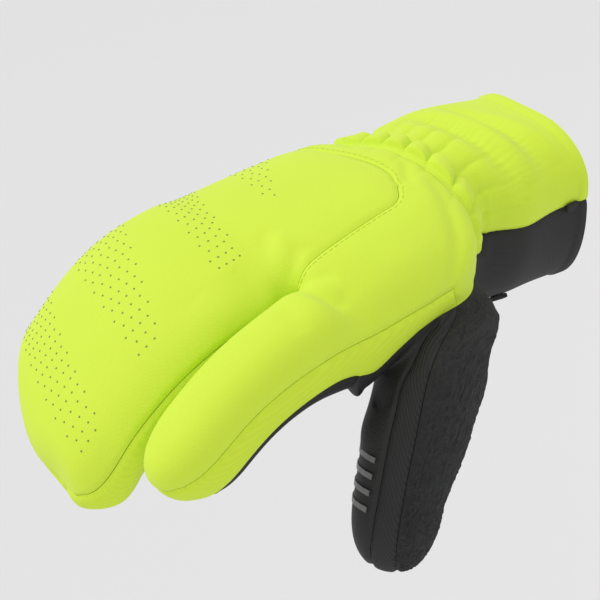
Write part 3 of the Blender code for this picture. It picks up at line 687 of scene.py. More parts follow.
# Soft pushes on the web, the thumb's base, the wrist, the cuff and the fingertips: the middle, as shares of
# PALM_WIDTH, PALM_LENGTH and PALM_DEPTH, how far the push reaches, and how far it moves the cloth across,
# along the hand and up.
Push = namedtuple("Push", "x y z reach across along up")
PUSHES = [
    Push(0.470, -0.800, -0.300, 0.0115, -0.0010, -0.0010, -0.0115),
    Push(0.467, -0.819, -0.420, 0.0065, 0.0018, -0.0020, -0.0052),
    Push(0.467, -0.775, -0.520, 0.0060, 0.0010, -0.0009, -0.0020),
    Push(0.490, -0.820, -0.860, 0.0080, -0.0011, -0.0012, 0.0000),
    Push(0.520, -0.640, -0.300, 0.0060, 0.0020, -0.0010, -0.0030),
    Push(0.560, -0.260, -0.280, 0.0130, 0.0045, 0.0030, -0.0010),
    Push(0.510, -0.190, -0.240, 0.0110, 0.0034, 0.0056, 0.0006),
    Push(-0.220, -0.020, 0.500, 0.0180, 0.0018, -0.0017, -0.0036),
    Push(-0.040, 0.690, 0.500, 0.0220, 0.0015, -0.0013, -0.0029),
    Push(0.480, -0.210, 0.000, 0.0110, -0.0028, -0.0032, 0.0000),
    Push(0.700, -0.470, -0.480, 0.0170, -0.0021, -0.0023, 0.0000),
    Push(-0.060, -1.940, -1.060, 0.0140, 0.0023, 0.0050, 0.0024),
    Push(0.130, -1.730, -0.960, 0.0130, 0.0010, -0.0004, -0.0058),
    Push(0.330, -1.720, -0.600, 0.0150, 0.0000, -0.0040, 0.0018),
]
SUBDIVISIONS = 3

# The cage is moved this many times, each time by this share of what its subdivided form still misses.
FIT_ROUNDS = 4
FIT_SHARE = 0.85

# How far from a seam the padding is still flattened, and how wide the seam's own groove is.
PADDING_REACH = 0.007
SEAM_REACH = 0.0012

# The wrist's puffs rise between these shares of the strip's gather, and the strip's edges are sunk. Pleats
# run on from the puffs over the first rows of the cuff and of the hand, around a middle level.
PUFF_RISES = (0.4, 0.75)
STRIP_SINK = 0.0009
PLEAT_HEIGHT = 0.0030
PLEAT_MIDDLE = 0.6
CUFF_PLEATS = (0.5, 0.35, 0.15)
HAND_PLEATS = (0.25, 0.12, 0.0)

# The hem's turned edge stands up at the end of the cuff's last rows, beyond a fine groove.
HEM_ROWS = 2
HEM_RISES = (0.72, 0.78)
HEM_HEIGHT = 0.0009
HEM_LINE, HEM_LINE_WIDTH, HEM_LINE_DEPTH = 0.74, 0.03, 0.0005

# A fold is read at this many points. It starts at this share of its swell's half wave, and a power below 1
# keeps the swell broad.
FOLD_POINTS = 24
FOLD_START = 0.1
FOLD_POWER = 0.7

# The fleece's curls fade out towards its seams.
CURL_SEED = 7
CURL_FADE = 0.002

# The fields that the cage's points carry through the subdivision.
FIELDS = ("puff", "gather", "pleat", "hem")


def limit_points(places, faces):
    """Where a subdivided cage's points end up, as sums over their neighbours."""
    rings = [{} for _ in places]
    count = [0] * len(places)
    edges = {}
    for face in faces:
        for k, vert in enumerate(face):
            count[vert] += 1
            rings[vert][face[k - 2]] = 1.0
            edge = frozenset((vert, face[k - 1]))
            edges[edge] = edges.get(edge, 0) + 1
    rows, cols, weights = [], [], []
    open_next = {}
    for edge, used in edges.items():
        a, b = edge
        for start, end in ((a, b), (b, a)):
            rings[start][end] = 4.0
            if used == 1:
                open_next.setdefault(start, []).append(end)
    for vert, ring in enumerate(rings):
        if vert in open_next:
            ring, own, total = {end: 1.0 for end in open_next[vert]}, 4.0, 6.0
        else:
            own, total = count[vert] ** 2.0, count[vert] * (count[vert] + 5.0)
        rows += [vert] * (len(ring) + 1)
        cols += [vert] + list(ring)
        weights += [own / total] + [weight / total for weight in ring.values()]
    return np.array(rows), np.array(cols), np.array(weights)


def read(items, field, width=1, kind=float):
    """A field of a mesh's items as one flat array."""
    values = np.empty(len(items) * width, kind)
    items.foreach_get(field, values)
    return values


@lru_cache(maxsize=None)
def fine_skin():
    """The whole skin as a fine mesh: its points, directions, faces, panels and the cage's fields."""
    skin = build_skin()
    keys = list(skin.places)
    number = {key: k for k, key in enumerate(keys)}
    mesh = bmesh.new()
    verts = [mesh.verts.new(skin.places[key]) for key in keys]
    for panel, face in skin.faces:
        mesh.faces.new([verts[number[key]] for key in face]).material_index = PANEL_INDEX[panel]
    bmesh.ops.recalc_face_normals(mesh, faces=mesh.faces)
    cage = bpy.data.meshes.new("cage")
    mesh.to_mesh(cage)
    mesh.free()
    faces = [tuple(face.vertices) for face in cage.polygons]
    wanted = np.array([skin.places[key] for key in keys])
    rows, cols, weights = limit_points(wanted, faces)
    places = wanted.copy()
    for _ in range(FIT_ROUNDS):
        reached = np.zeros_like(places)
        np.add.at(reached, rows, weights[:, None] * places[cols])
        places += FIT_SHARE * (wanted - reached)
    cage.vertices.foreach_set("co", places.ravel())
    puff, gather, pleat, hem = [cage.attributes.new(name, "FLOAT", "POINT") for name in FIELDS]
    for key, k in number.items():
        if key[0] != "trunk":
            continue
        row, ring = key[1], key[2]
        puff.data[k].value = float(ring % 2)
        hem.data[k].value = max(0.0, row - (len(TRUNK_ROWS) - 1 - HEM_ROWS)) / HEM_ROWS
        on_back = not PALM_START < ring < PALM_END
        if WRIST_ROW <= row <= CUFF_ROW and on_back:
            gather.data[k].value = math.sin(math.pi * (row - WRIST_ROW) / GATHER_ROWS)
        away, pleats = (row - CUFF_ROW, CUFF_PLEATS) if row >= CUFF_ROW else (WRIST_ROW - row, HAND_PLEATS)
        if on_back and 0 <= away < len(pleats):
            pleat.data[k].value = pleats[away]
    obj = bpy.data.objects.new("cage", cage)
    bpy.context.scene.collection.objects.link(obj)
    rounder = obj.modifiers.new("rounder", "SUBSURF")
    rounder.levels = rounder.render_levels = SUBDIVISIONS
    fine = bpy.data.meshes.new_from_object(obj.evaluated_get(bpy.context.evaluated_depsgraph_get()))
    bpy.data.objects.remove(obj)
    points = read(fine.vertices, "co", 3).reshape(-1, 3)
    normals = read(fine.vertex_normals, "vector", 3).reshape(-1, 3)
    corners = read(fine.polygons, "vertices", 4, int).reshape(-1, 4)
    panels = read(fine.polygons, "material_index", 1, int)
    values = {name: read(fine.attributes[name].data, "value") for name in FIELDS}
    return points, normals, corners, panels, values


@lru_cache(maxsize=None)
def seam_chains():
    """The fine skin's seams by their two panels, each as chains of points in order."""
    _, _, faces, panels, _ = fine_skin()
    owners = {}
    for face, panel in zip(faces.tolist(), panels.tolist()):
        for a, b in zip(face, face[1:] + face[:1]):
            owners.setdefault((min(a, b), max(a, b)), []).append(panel)
    seams = {}
    for edge, own in owners.items():
        if len(own) == 2 and own[0] != own[1]:
            seams.setdefault((min(own), max(own)), []).append(edge)
    chains = {}
    for pair, edges in seams.items():
        near = {}
        for a, b in edges:
            near.setdefault(a, []).append(b)
            near.setdefault(b, []).append(a)
        left = {frozenset(edge) for edge in edges}
        starts = [vert for vert, others in near.items() if len(others) == 1] + list(near)
        for start in starts:
            chain = [start]
            while True:
                ahead = [v for v in near[chain[-1]] if frozenset((chain[-1], v)) in left]
                if not ahead:
                    break
                left.discard(frozenset((chain[-1], ahead[0])))
                chain.append(ahead[0])
            if len(chain) > 2:
                chains.setdefault(pair, []).append(chain)
    return chains


def back_place(at, column):
    """A place on the back of the hand, the cuff or the mitten, by how far along it is and by its column."""
    if at <= 1.0:
        return MITTEN_SPINE.place(at, *hand_sheet(at, column, 1))
    pod = MITTEN if column <= MITTEN_COLUMNS else INDEX
    t = 2 * (column - pod.first) / (pod.last - pod.first) - 1
    if at <= pod.tip_from:
        return pod.spine.place(at, *pod_sheet(pod, at, t, 1))
    share = (at - pod.tip_from) / (2.0 - pod.tip_from)
    return pod.spine.place(*tip_place(pod, t, share, 1))


def fold_line(fold):
    """Points along a fold, close enough together that the nearest gives its distance, with their swell."""
    shares = np.linspace(0.0, 1.0, FOLD_POINTS)
    ats = fold.at + (fold.end_at - fold.at) * shares
    columns = fold.column + (fold.end_column - fold.column) * shares
    swell = np.sin(np.pi * np.clip(shares * (1 - FOLD_START) + FOLD_START, 0, 1)) ** FOLD_POWER
    return np.array([back_place(at, column) for at, column in zip(ats, columns)]), swell


def nearest_tree(places):
    """A tree that finds the nearest of some places."""
    tree = KDTree(len(places))
    for k, place in enumerate(places):
        tree.insert(place, k)
    tree.balance()
    return tree


@lru_cache(maxsize=None)
def dressed_skin():
    """The fine skin with its seams drawn in, its padding swollen and its folds and gathers worked in."""
    points, normals, faces, panels, values = fine_skin()
    sizes = bpy.context.scene.glove_sizes
    verts = sorted({vert for chains in seam_chains().values() for chain in chains for vert in chain})
    seams = nearest_tree(points[verts])
    away = np.array([seams.find(place)[2] for place in points])
    swell = np.zeros(len(points))
    for number, finish in enumerate(FINISHES):
        swell[np.unique(faces[panels == number])] = finish.swell
    lift = swell * (1 - np.exp(-(away / PADDING_REACH) ** 2))
    lift -= sizes.seam_depth * np.exp(-(away / SEAM_REACH) ** 2)
    wave = 1 - (1 - values["puff"]) ** 3
    band = smooth(values["gather"], *PUFF_RISES)
    lift += band * sizes.puff_height * wave - STRIP_SINK * (values["gather"] > 0) * (1 - band)
    lift += values["pleat"] * PLEAT_HEIGHT * (wave - PLEAT_MIDDLE)
    lift += HEM_HEIGHT * smooth(values["hem"], *HEM_RISES)
    lift -= HEM_LINE_DEPTH * np.exp(-((values["hem"] - HEM_LINE) / HEM_LINE_WIDTH) ** 2)
    for fold in FOLDS:
        line, strength = fold_line(fold)
        middle, reach = line.mean(0), np.linalg.norm(line[-1] - line[0]) / 2 + 3 * fold.width
        near = np.nonzero(np.linalg.norm(points - middle, axis=1) < reach)[0]
        gaps = np.linalg.norm(points[near, None] - line[None], axis=2)
        best = gaps.argmin(1)
        lift[near] += fold.height * strength[best] * np.exp(-(gaps.min(1) / fold.width) ** 2)
    moved = points + normals * lift[:, None]
    for push in PUSHES:
        middle = np.array((push.x * PALM_WIDTH, push.y * PALM_LENGTH, push.z * PALM_DEPTH))
        share = np.exp(-(np.linalg.norm(points - middle, axis=1) / push.reach) ** 2)
        moved += share[:, None] * np.array((push.across, push.along, push.up))
    fuzz = np.unique(faces[panels == PANEL_INDEX["thumb_back"]])
    curl = np.random.default_rng(CURL_SEED).normal(0.0, sizes.fleece_curl, len(fuzz))
    moved[fuzz] += normals[fuzz] * (curl * np.minimum(1, away[fuzz] / CURL_FADE))[:, None]
    return moved


def new_object(name, mesh, material):
    mesh.materials.clear()
    mesh.materials.append(material)
    obj = bpy.data.objects.new(name, mesh)
    bpy.context.scene.collection.objects.link(obj)
    return obj


# How far each panel's edge draws back from its seam, and the angle beyond which an edge stays sharp.
EDGE_INSET = SEAM_GAP / 3
SHARP_ANGLE = math.radians(60)


def cloth_panel(finish, material):
    """One cloth panel, cut from the dressed skin along its seams, with its wall and its turned edge."""
    outer = dressed_skin()
    _, normals, faces, panels, _ = fine_skin()
    own = faces[panels == PANEL_INDEX[finish.name]]
    used, flat = np.unique(own, return_inverse=True)
    local = flat.reshape(-1, 4)
    count = len(used)
    top = outer[used].copy()
    heads, tails = local.ravel(), np.roll(local, -1, axis=1).ravel()
    forward = set(zip(heads.tolist(), tails.tolist()))
    rim = [(a, b) for a, b in forward if (b, a) not in forward]
    centres = top[local].mean(1)
    pull, rim_verts = np.zeros_like(top), {vert for edge in rim for vert in edge}
    for k in range(4):
        np.add.at(pull, local[:, k], centres - top[local[:, k]])
    for vert in rim_verts:
        top[vert] += pull[vert] / (np.linalg.norm(pull[vert]) + 1e-9) * EDGE_INSET
    under = top - normals[used] * finish.wall
    polygons = local.tolist() + (local[:, ::-1] + count).tolist()
    polygons += [[b, a, a + count, b + count] for a, b in rim]
    mesh = bpy.data.meshes.new(finish.name)
    mesh.from_pydata(np.concatenate([top, under]).tolist(), [], polygons)
    mesh.shade_smooth()
    mesh.set_sharp_from_angle(angle=SHARP_ANGLE)
    obj = new_object("cloth_" + finish.name, mesh, material)
    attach(obj, "root")
    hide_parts(finish.name)


def make_panels(names, material):
    for finish in FINISHES:
        if finish.name in names:
            cloth_panel(finish, material)


def add(tree, kind, links=(), **settings):
    """Adds a node. Settings are its properties. Links give its inputs a value or another node's output."""
    made = tree.nodes.new(kind)
    for name, value in settings.items():
        setattr(made, name, value)
    for socket, value in dict(links).items():
        if isinstance(value, bpy.types.NodeSocket):
            tree.links.new(value, made.inputs[socket])
        else:
            made.inputs[socket].default_value = value
    return made


def new_material(name, colour, roughness, more=()):
    """A new material, its node tree, its shader and its coordinates, in metres on the piece."""
    made = bpy.data.materials.new(name)
    made.use_nodes = True
    tree = made.node_tree
    shader = tree.nodes["Principled BSDF"]
    for socket, value in {"Base Color": (*colour, 1.0), "Roughness": roughness, **dict(more)}.items():
        shader.inputs[socket].default_value = value
    return made, tree, shader, add(tree, "ShaderNodeTexCoord").outputs["Object"]


def shaded(tree, shader, colour, amount, factor):
    """Makes the cloth's colour darker and lighter by a share, as another node's output says."""
    mix = add(tree, "ShaderNodeMix", {"Factor": factor}, data_type="RGBA")
    mix.inputs["A"].default_value = tuple(c * (1 - amount) for c in colour) + (1.0,)
    mix.inputs["B"].default_value = tuple(min(1.0, c * (1 + amount)) for c in colour) + (1.0,)
    tree.links.new(mix.outputs["Result"], shader.inputs["Base Color"])


def varied(tree, shader, coords, colour, amount, scale):
    """A slow change of shade over the cloth, as dye and light wear give it."""
    noise = add(tree, "ShaderNodeTexNoise", {"Vector": coords, "Scale": scale, "Detail": 4.0})
    shaded(tree, shader, colour, amount, noise.outputs["Fac"])


def ribs(tree, coords, spacing, turn):
    """Straight ribs with a real spacing in metres, turned on the cloth by angles in degrees."""
    angles = [math.radians(angle) for angle in turn]
    turned = add(tree, "ShaderNodeMapping", {"Vector": coords, "Rotation": angles})
    form = {"Scale": 2 * math.pi / 20 / spacing, "Distortion": 0.4, "Detail": 1.0, "Detail Scale": 2.0}
    return add(tree, "ShaderNodeTexWave", {"Vector": turned.outputs["Vector"], **form}, wave_type="BANDS")


def bumped(tree, shader, height, strength, distance):
    bump = add(tree, "ShaderNodeBump", {"Height": height, "Strength": strength, "Distance": distance})
    tree.links.new(bump.outputs["Normal"], shader.inputs["Normal"])


def softshell_material(name, colour, rib, strength):
    # Polyester softshell, woven and dyed a fluorescent yellow: matt, with a fine thread and a faint sheen.
    sheen = {"Sheen Weight": 0.08, "Sheen Roughness": 0.5}
    made, tree, shader, coords = new_material(name, colour, 0.72, sheen)
    varied(tree, shader, coords, colour, amount=0.03, scale=30.0)
    along = ribs(tree, coords, rib, (0, 0, 38)).outputs["Fac"]
    across = ribs(tree, coords, rib, (0, 12, -47)).outputs["Fac"]
    height = add(tree, "ShaderNodeMath", {0: along, 1: across}, operation="ADD").outputs[0]
    bumped(tree, shader, height, strength, distance=0.0003)
    return made


def twill_material(name, colour, spacing, strength, turn, painted_rib_shade):
    # Polyester twill: raised diagonal ribs, drawn a little coarser than the thread so that they show.
    made, tree, shader, coords = new_material(name, colour, 0.8)
    lines = ribs(tree, coords, spacing, turn).outputs["Fac"]
    # Painted shade and painted highlight: by this share the ribs' grooves are coloured darker and their
    # raised tops lighter, following the same wave as the bump.
    shaded(tree, shader, colour, painted_rib_shade, lines)
    bumped(tree, shader, lines, strength, distance=0.0004)
    return made


def fleece_material(name, colour):
    # Brushed polyester fleece: short curled fibres that scatter light, so it is dull and a little cloudy.
    sheen = {"Sheen Weight": 0.06, "Sheen Roughness": 0.8}
    made, tree, shader, coords = new_material(name, colour, 0.95, sheen)
    varied(tree, shader, coords, colour, amount=0.8, scale=800.0)
    form = {"Scale": 800.0, "Detail": 6.0, "Roughness": 0.7}
    curls = add(tree, "ShaderNodeTexNoise", {"Vector": coords, **form})
    bumped(tree, shader, curls.outputs["Fac"], strength=1.0, distance=0.0016)
    return made


def leather_material(name, colour):
    # Synthetic leather with a suede face: a fine pebble and slightly uneven gloss.
    made, tree, shader, coords = new_material(name, colour, 0.62)
    varied(tree, shader, coords, colour, amount=0.18, scale=140.0)
    grain = add(tree, "ShaderNodeTexVoronoi", {"Vector": coords, "Scale": 900.0})
    bumped(tree, shader, grain.outputs["Distance"], strength=0.35, distance=0.0003)
    return made


def silicone_material(name, colour):
    # Screen printed silicone: smooth, a little glossy, with rounded edges.
    made, tree, shader, coords = new_material(name, colour, 0.38)
    varied(tree, shader, coords, colour, amount=0.2, scale=300.0)
    return made


def webbing_material(name, colour):
    # Woven polyamide tape: close ribs across its width.
    made, tree, shader, coords = new_material(name, colour, 0.8)
    lines = ribs(tree, coords, spacing=0.0008, turn=(0, 0, 20))
    bumped(tree, shader, lines.outputs["Fac"], strength=0.6, distance=0.0003)
    return made


def thread_material(name, colour):
    # Twisted polyester sewing thread, a shade deeper than the cloth.
    made, tree, shader, coords = new_material(name, colour, 0.6)
    varied(tree, shader, coords, colour, amount=0.12, scale=900.0)
    return made


def reflective_material(name, colour):
    # Heat printed reflective film: tiny glass beads that look plain grey in soft light.
    made, tree, shader, coords = new_material(name, colour, 0.45, {"Metallic": 0.2})
    varied(tree, shader, coords, colour, amount=0.1, scale=700.0)
    return made


# The bead tree's own size inputs.
BEAD_SIZES = ("Length", "Width", "Height")


def bead_tree():
    """A node tree that lays a small rounded bead on each point, lengthwise along the point's direction."""
    tree = bpy.data.node_groups.new("beads", "GeometryNodeTree")
    sockets = [("Geometry", "Geometry", "INPUT")] + [(name, "Float", "INPUT") for name in BEAD_SIZES]
    sockets += [("Material", "Material", "INPUT"), ("Geometry", "Geometry", "OUTPUT")]
    for name, kind, direction in sockets:
        tree.interface.new_socket(name, in_out=direction, socket_type="NodeSocket" + kind)
    given = add(tree, "NodeGroupInput").outputs
    bead = add(tree, "GeometryNodeMeshUVSphere", {"Segments": 8, "Rings": 4, "Radius": 0.5})
    out = add(tree, "GeometryNodeInputNamedAttribute", {"Name": "out"}, data_type="FLOAT_VECTOR")
    along = add(tree, "GeometryNodeInputNamedAttribute", {"Name": "along"}, data_type="FLOAT_VECTOR")
    upright = add(tree, "FunctionNodeAlignRotationToVector", {"Vector": out.outputs["Attribute"]}, axis="Z")
    turned = add(tree, "FunctionNodeAlignRotationToVector",
                 {"Rotation": upright.outputs["Rotation"], "Vector": along.outputs["Attribute"]},
                 axis="X", pivot_axis="Z")
    size = add(tree, "ShaderNodeCombineXYZ", dict(zip("XYZ", [given[name] for name in BEAD_SIZES])))
    placed = add(tree, "GeometryNodeInstanceOnPoints",
                 {"Points": given["Geometry"], "Instance": bead.outputs["Mesh"],
                  "Rotation": turned.outputs["Rotation"], "Scale": size.outputs["Vector"]})
    real = add(tree, "GeometryNodeRealizeInstances", {"Geometry": placed.outputs["Instances"]})
    smooth_bead = add(tree, "GeometryNodeSetShadeSmooth", {"Geometry": real.outputs["Geometry"]})
    finished = add(tree, "GeometryNodeSetMaterial",
                   {"Geometry": smooth_bead.outputs["Geometry"], "Material": given["Material"]})
    add(tree, "NodeGroupOutput", {"Geometry": finished.outputs["Geometry"]})
    return tree


def lay_beads(name, spots, size, material):
    """Lays beads on spots, each a place with its direction out and its direction along."""
    mesh = bpy.data.meshes.new(name)
    mesh.from_pydata([tuple(place) for place, _, _ in spots], [], [])
    for title, k in (("out", 1), ("along", 2)):
        field = mesh.attributes.new(title, "FLOAT_VECTOR", "POINT")
        field.data.foreach_set("vector", np.array([spot[k] for spot in spots]).ravel())
    base = new_object(name + "_points", mesh, material)
    tree = bead_tree()
    layer = base.modifiers.new("beads", "NODES")
    layer.node_group = tree
    sockets = {item.name: item.identifier for item in tree.interface.items_tree if item.in_out == "INPUT"}
    for title, value in zip(BEAD_SIZES, size):
        layer[sockets[title]] = value
    layer[sockets["Material"]] = material
    made = bpy.data.meshes.new_from_object(base.evaluated_get(bpy.context.evaluated_depsgraph_get()))
    bpy.data.objects.remove(base)
    obj = new_object(name, made, material)
    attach(obj, "root")


@lru_cache(maxsize=None)
def dressed_tree():
    """The dressed skin as a tree that finds its nearest point."""
    faces = fine_skin()[2].tolist()
    return BVHTree.FromPolygons([Vector(place) for place in dressed_skin()], faces)


def on_skin(place, lift):
    """The nearest place on the dressed skin, a little above it, and the direction out of it."""
    found, normal, _, _ = dressed_tree().find_nearest(Vector(place))
    return np.array(found + normal * lift), np.array(normal)


# Rows of stitches: the two panels that a seam joins, and how far beside it the row runs, in metres. It runs
# on the second panel, or on the first where the offset is negative. A stitch takes a share of the pitch.
Sewing = namedtuple("Sewing", "first second offset")
SEWING = [
    Sewing("mitten_back", "hand_back", 0.0017),
    Sewing("mitten_back", "mitten_gusset", -0.0017),
    Sewing("cuff_back", "cuff_palm", -0.0016),
]
STITCH_SHARE = 0.8
STITCH_LIFT = 0.0001


def stitch_spots(sewing, pitch):
    """Where each stitch of a seam lies, with its direction out and its direction along."""
    points, _, faces, panels, _ = fine_skin()
    first, second = PANEL_INDEX[sewing.first], PANEL_INDEX[sewing.second]
    first_centres = nearest_tree([points[face].mean(0) for face in faces[panels == first]])
    spots = []
    for chain in seam_chains().get((min(first, second), max(first, second)), []):
        line = points[chain]
        steps = np.linalg.norm(np.diff(line, axis=0), axis=1)
        length = np.concatenate([[0.0], np.cumsum(steps)])
        for at in np.arange(pitch, length[-1] - pitch / 2, pitch):
            place, ahead = [np.array([np.interp(reach, length, line[:, axis]) for axis in range(3)])
                            for reach in (at, at + pitch / 2)]
            along = ahead - place
            along /= np.linalg.norm(along) + 1e-9
            side = np.cross(on_skin(place, 0.0)[1], along)
            toward_first = np.array(first_centres.find(place)[0]) - place
            side *= -1.0 if side.dot(toward_first) > 0 else 1.0
            spots.append((*on_skin(place + side * sewing.offset, STITCH_LIFT), along))
    return spots


# Bands of reflective dots on the mitten's back. Each runs from one column to another, and at each end it
# covers a stretch along the hand. Rows are counted at its first end, and every other column is staggered.
DotBand = namedtuple("DotBand", "column start stop end_column end_start end_stop rows columns")
DOT_BANDS = [
    DotBand(1.0, 1.47, 1.71, 9.7, 1.66, 1.76, 8, 17),
    DotBand(0.7, 1.08, 1.35, 9.1, 1.33, 1.43, 8, 17),
    DotBand(0.5, 0.70, 0.95, 8.3, 0.98, 1.09, 8, 16),
    DotBand(0.5, 0.22, 0.55, 7.6, 0.64, 0.70, 7, 14),
]
DOT_STAGGER = 0.25
DOT_LIFT = 0.00005
DOT_HEIGHT = 0.0003


def dot_spots():
    """Where each reflective dot lies, with its direction out and a direction along."""
    spots = []
    for band in DOT_BANDS:
        for column in range(band.columns):
            u = column / (band.columns - 1)
            start = band.start + (band.end_start - band.start) * u
            stop = band.stop + (band.end_stop - band.stop) * u
            count = max(1, round(band.rows * (stop - start) / (band.stop - band.start)))
            for row in range(count):
                at = start + (stop - start) * (row + 0.5 + DOT_STAGGER * (-1) ** column) / count
                spot = back_place(at, band.column + (band.end_column - band.column) * u)
                place, out = on_skin(spot, DOT_LIFT)
                spots.append((place, out, np.cross(out, (0.0, 0.0, 1.0))))
    return spots


def measure(name, about, default):
    return FloatProperty(name=name, description=about, default=default, unit="LENGTH")


def shade(name, about, code):
    return FloatVectorProperty(name=name, description=about, default=linear(code), subtype="COLOR")


class GloveSizes(bpy.types.PropertyGroup):
    seam_depth: measure("Seam depth", "How far a seam draws the cloth in", 0.0009)
    puff_height: measure("Puff height", "How high the wrist's puffs stand", 0.0030)
    stitch_pitch: measure("Stitch pitch", "From one stitch to the next", 0.0030)
    stitch_width: measure("Stitch width", "Thickness of the thread", 0.0004)
    fleece_curl: measure("Fleece curl", "How uneven the fleece is", 0.00022)
    dot_size: measure("Dot size", "Diameter of a reflective dot", 0.0009)
    rib: measure("Rib spacing", "From one twill rib to the next", 0.0012)


class GloveColours(bpy.types.PropertyGroup):
    softshell: shade("Softshell", "Yellow shell", "D3ED3A")
    leather: shade("Leather", "Palm and thumb pad", "171717")
    fleece: shade("Fleece", "Back of the thumb", "202121")
    twill: shade("Twill", "Cuff underside and thumb band", "272727")
    silicone: shade("Silicone", "Grip bars", "6E6E6E")
    webbing: shade("Webbing", "Tabs", "262626")
    thread: shade("Thread", "Topstitches", "CDE23E")
    dots: shade("Dots", "Reflective dots", "828E52")
    floor: shade("Floor", "Studio floor", "E3E3E3")


class GLOVE_OT_shell(bpy.types.Operator):
    """Makes the yellow softshell panels and the wrist's gathered strip"""

    bl_idname = "glove.shell"
    bl_label = "Softshell"

    def execute(self, context):
        colour = context.scene.glove_colours.softshell
        material = softshell_material("woven_softshell", colour, rib=0.0010, strength=0.10)
        make_panels(("mitten_back", "hand_back", "wrist_gather", "cuff_back"), material)
        return {"FINISHED"}


class GLOVE_OT_gussets(bpy.types.Operator):
    """Makes the yellow twill gussets along the sides of the mitten and the index finger"""

    bl_idname = "glove.gussets"
    bl_label = "Gussets"

    def execute(self, context):
        colour, spacing = context.scene.glove_colours.softshell, context.scene.glove_sizes.rib
        form = {"strength": 0.12, "turn": (30, 20, 25), "painted_rib_shade": 0.02}
        material = twill_material("yellow_twill", colour, spacing, **form)
        make_panels(("fourchette", "mitten_gusset", "index_gusset"), material)
        return {"FINISHED"}


class GLOVE_OT_palm(bpy.types.Operator):
    """Makes the leather palm and the pad of the thumb"""

    bl_idname = "glove.palm"
    bl_label = "Palm"

    def execute(self, context):
        material = leather_material("synthetic_leather", context.scene.glove_colours.leather)
        make_panels(("palm_panel", "thumb_pad"), material)
        return {"FINISHED"}


class GLOVE_OT_thumb(bpy.types.Operator):
    """Makes the fleece back of the thumb and the twill band along it"""

    bl_idname = "glove.thumb"
    bl_label = "Thumb"

    def execute(self, context):
        colours, sizes = context.scene.glove_colours, context.scene.glove_sizes
        make_panels(("thumb_back",), fleece_material("brushed_fleece", colours.fleece))
        form = {"strength": 0.7, "turn": (10, 35, 0), "painted_rib_shade": 0.22}
        make_panels(("thumb_band",), twill_material("ribbed_twill", colours.twill, sizes.rib, **form))
        return {"FINISHED"}


class GLOVE_OT_cuff(bpy.types.Operator):
    """Makes the black underside of the cuff"""

    bl_idname = "glove.cuff"
    bl_label = "Cuff underside"

    def execute(self, context):
        form = {"spacing": 0.0010, "strength": 0.12, "turn": (0, -30, 30), "painted_rib_shade": 0.03}
        make_panels(("cuff_palm",), twill_material("cuff_twill", context.scene.glove_colours.twill, **form))
        return {"FINISHED"}


class GLOVE_OT_trims(bpy.types.Operator):
    """Finishes the silicone bars and the webbing tabs, whose frame shapes stay"""

    bl_idname = "glove.trims"
    bl_label = "Bars and tabs"

    def execute(self, context):
        colours = context.scene.glove_colours
        bars = silicone_material("printed_silicone", colours.silicone)
        tabs = webbing_material("woven_webbing", colours.webbing)
        for obj in bpy.data.objects:
            if obj.name.startswith("grip_bar") or obj.name.endswith("_tab"):
                for place in obj.material_slots:
                    place.material = bars if obj.name.startswith("grip_bar") else tabs
        return {"FINISHED"}


class GLOVE_OT_stitches(bpy.types.Operator):
    """Lays the topstitches beside the seams"""

    bl_idname = "glove.stitches"
    bl_label = "Topstitches"

    def execute(self, context):
        sizes, colours = context.scene.glove_sizes, context.scene.glove_colours
        spots = [spot for sewing in SEWING for spot in stitch_spots(sewing, sizes.stitch_pitch)]
        size = (sizes.stitch_pitch * STITCH_SHARE, sizes.stitch_width, sizes.stitch_width)
        material = thread_material("polyester_thread", colours.thread)
        lay_beads("topstitches", spots, size, material)
        return {"FINISHED"}


class GLOVE_OT_dots(bpy.types.Operator):
    """Prints the reflective dots on the back of the mitten"""

    bl_idname = "glove.dots"
    bl_label = "Reflective dots"

    def execute(self, context):
        sizes, colours = context.scene.glove_sizes, context.scene.glove_colours
        size = (sizes.dot_size, sizes.dot_size, DOT_HEIGHT)
        material = reflective_material("reflective_print", colours.dots)
        lay_beads("reflective_dots", dot_spots(), size, material)
        return {"FINISHED"}


# The camera's axes (right, down and ahead), where the origin lies along them, and the focal length over a
# 600 px frame.
CAMERA_TURN = Matrix(((0.66373, 0.74796, -0.00339),
                      (0.43168, -0.38677, -0.81490),
                      (-0.61082, 0.53941, -0.57959)))
CAMERA_SHIFT = Vector((0.04500, -0.04026, 0.57120))
FOCAL_PIXELS = 1335.9
FRAME_PIXELS = 600
SENSOR_WIDTH = 36.0
CLIP_START = 0.01

# The floor's half width and its level, the place that the lights look at, and the world's strength.
FLOOR_HALF = 8
FLOOR_LEVEL = -0.6
LIGHTS_AIM = Vector((0.0, -0.05, -0.02))
WORLD_STRENGTH = 0.67

# Soft lights: kind, place, size in metres or, for the broad one, in degrees, and power.
Lamp = namedtuple("Lamp", "name kind place size power")
LAMPS = [
    Lamp("key_light", "SUN", (-1.0, -0.7, 1.15), 50.0, 1.3),
    Lamp("side_light", "AREA", (1.3, -0.9, 0.6), 1.2, 2.5),
    Lamp("back_light", "AREA", (0.4, 1.4, 1.0), 1.2, 2.5),
]


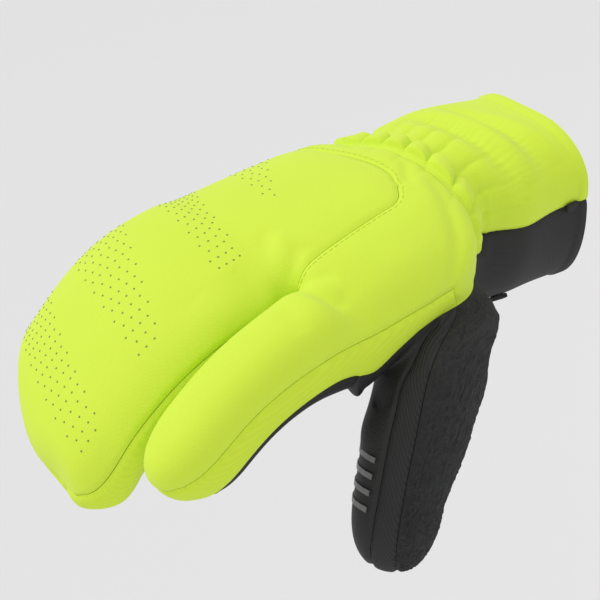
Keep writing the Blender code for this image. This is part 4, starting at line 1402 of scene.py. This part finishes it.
class GLOVE_OT_stage(bpy.types.Operator):
    """Sets the pale floor, the soft lights and the camera"""

    bl_idname = "glove.stage"
    bl_label = "Stage"

    def execute(self, context):
        scene = context.scene
        mesh = bpy.data.meshes.new("floor")
        signs = (-1, -1), (1, -1), (1, 1), (-1, 1)
        corners = [(x * FLOOR_HALF, y * FLOOR_HALF, FLOOR_LEVEL) for x, y in signs]
        mesh.from_pydata(corners, [], [(0, 1, 2, 3)])
        floor = new_object("floor", mesh, new_material("matt_paper", scene.glove_colours.floor, 0.9)[0])
        camera = bpy.data.objects.new("camera", bpy.data.cameras.new("camera"))
        scene.collection.objects.link(camera)
        camera.data.sensor_width = SENSOR_WIDTH
        camera.data.lens = FOCAL_PIXELS / FRAME_PIXELS * SENSOR_WIDTH
        camera.data.clip_start = CLIP_START
        right, down, ahead = CAMERA_TURN
        axes = Matrix((right, -down, -ahead)).transposed()
        place = -(CAMERA_TURN.transposed() @ CAMERA_SHIFT)
        camera.matrix_world = Matrix.Translation(place) @ axes.to_4x4()
        scene.camera = camera
        for lamp in LAMPS:
            light = bpy.data.lights.new(lamp.name, lamp.kind)
            if lamp.kind == "SUN":
                light.angle = math.radians(lamp.size)
            else:
                light.size = lamp.size
            light.energy = lamp.power
            obj = bpy.data.objects.new(lamp.name, light)
            obj.location = lamp.place
            obj.rotation_euler = (LIGHTS_AIM - obj.location).to_track_quat("-Z", "Y").to_euler()
            scene.collection.objects.link(obj)
        world = bpy.data.worlds.new("studio")
        world.use_nodes = True
        background = world.node_tree.nodes["Background"]
        background.inputs["Color"].default_value = (1.0, 1.0, 1.0, 1.0)
        background.inputs["Strength"].default_value = WORLD_STRENGTH
        scene.world = world
        scene.view_settings.view_transform = "Standard"
        return {"FINISHED"}


class GLOVE_PT_panel(bpy.types.Panel):
    """Lists the glove's sizes, colours and steps"""

    bl_idname = "GLOVE_PT_panel"
    bl_label = "Winter glove"
    bl_space_type = "VIEW_3D"
    bl_region_type = "UI"
    bl_category = "Glove"

    def draw(self, context):
        for group in (context.scene.glove_sizes, context.scene.glove_colours):
            for name in group.__annotations__:
                self.layout.prop(group, name)
        for step in STEPS:
            self.layout.operator(step.bl_idname)


STEPS = (GLOVE_OT_shell, GLOVE_OT_gussets, GLOVE_OT_palm, GLOVE_OT_thumb, GLOVE_OT_cuff, GLOVE_OT_trims,
         GLOVE_OT_stitches, GLOVE_OT_dots, GLOVE_OT_stage)
CLASSES = (GloveSizes, GloveColours) + STEPS + (GLOVE_PT_panel,)


def register():
    for made in CLASSES:
        bpy.utils.register_class(made)
    bpy.types.Scene.glove_sizes = PointerProperty(type=GloveSizes)
    bpy.types.Scene.glove_colours = PointerProperty(type=GloveColours)


def unregister():
    del bpy.types.Scene.glove_colours
    del bpy.types.Scene.glove_sizes
    for made in reversed(CLASSES):
        bpy.utils.unregister_class(made)


def main():
    register()
    for step in STEPS:
        group, name = step.bl_idname.split(".")
        getattr(getattr(bpy.ops, group), name)()


if __name__ == "__main__":
    main()
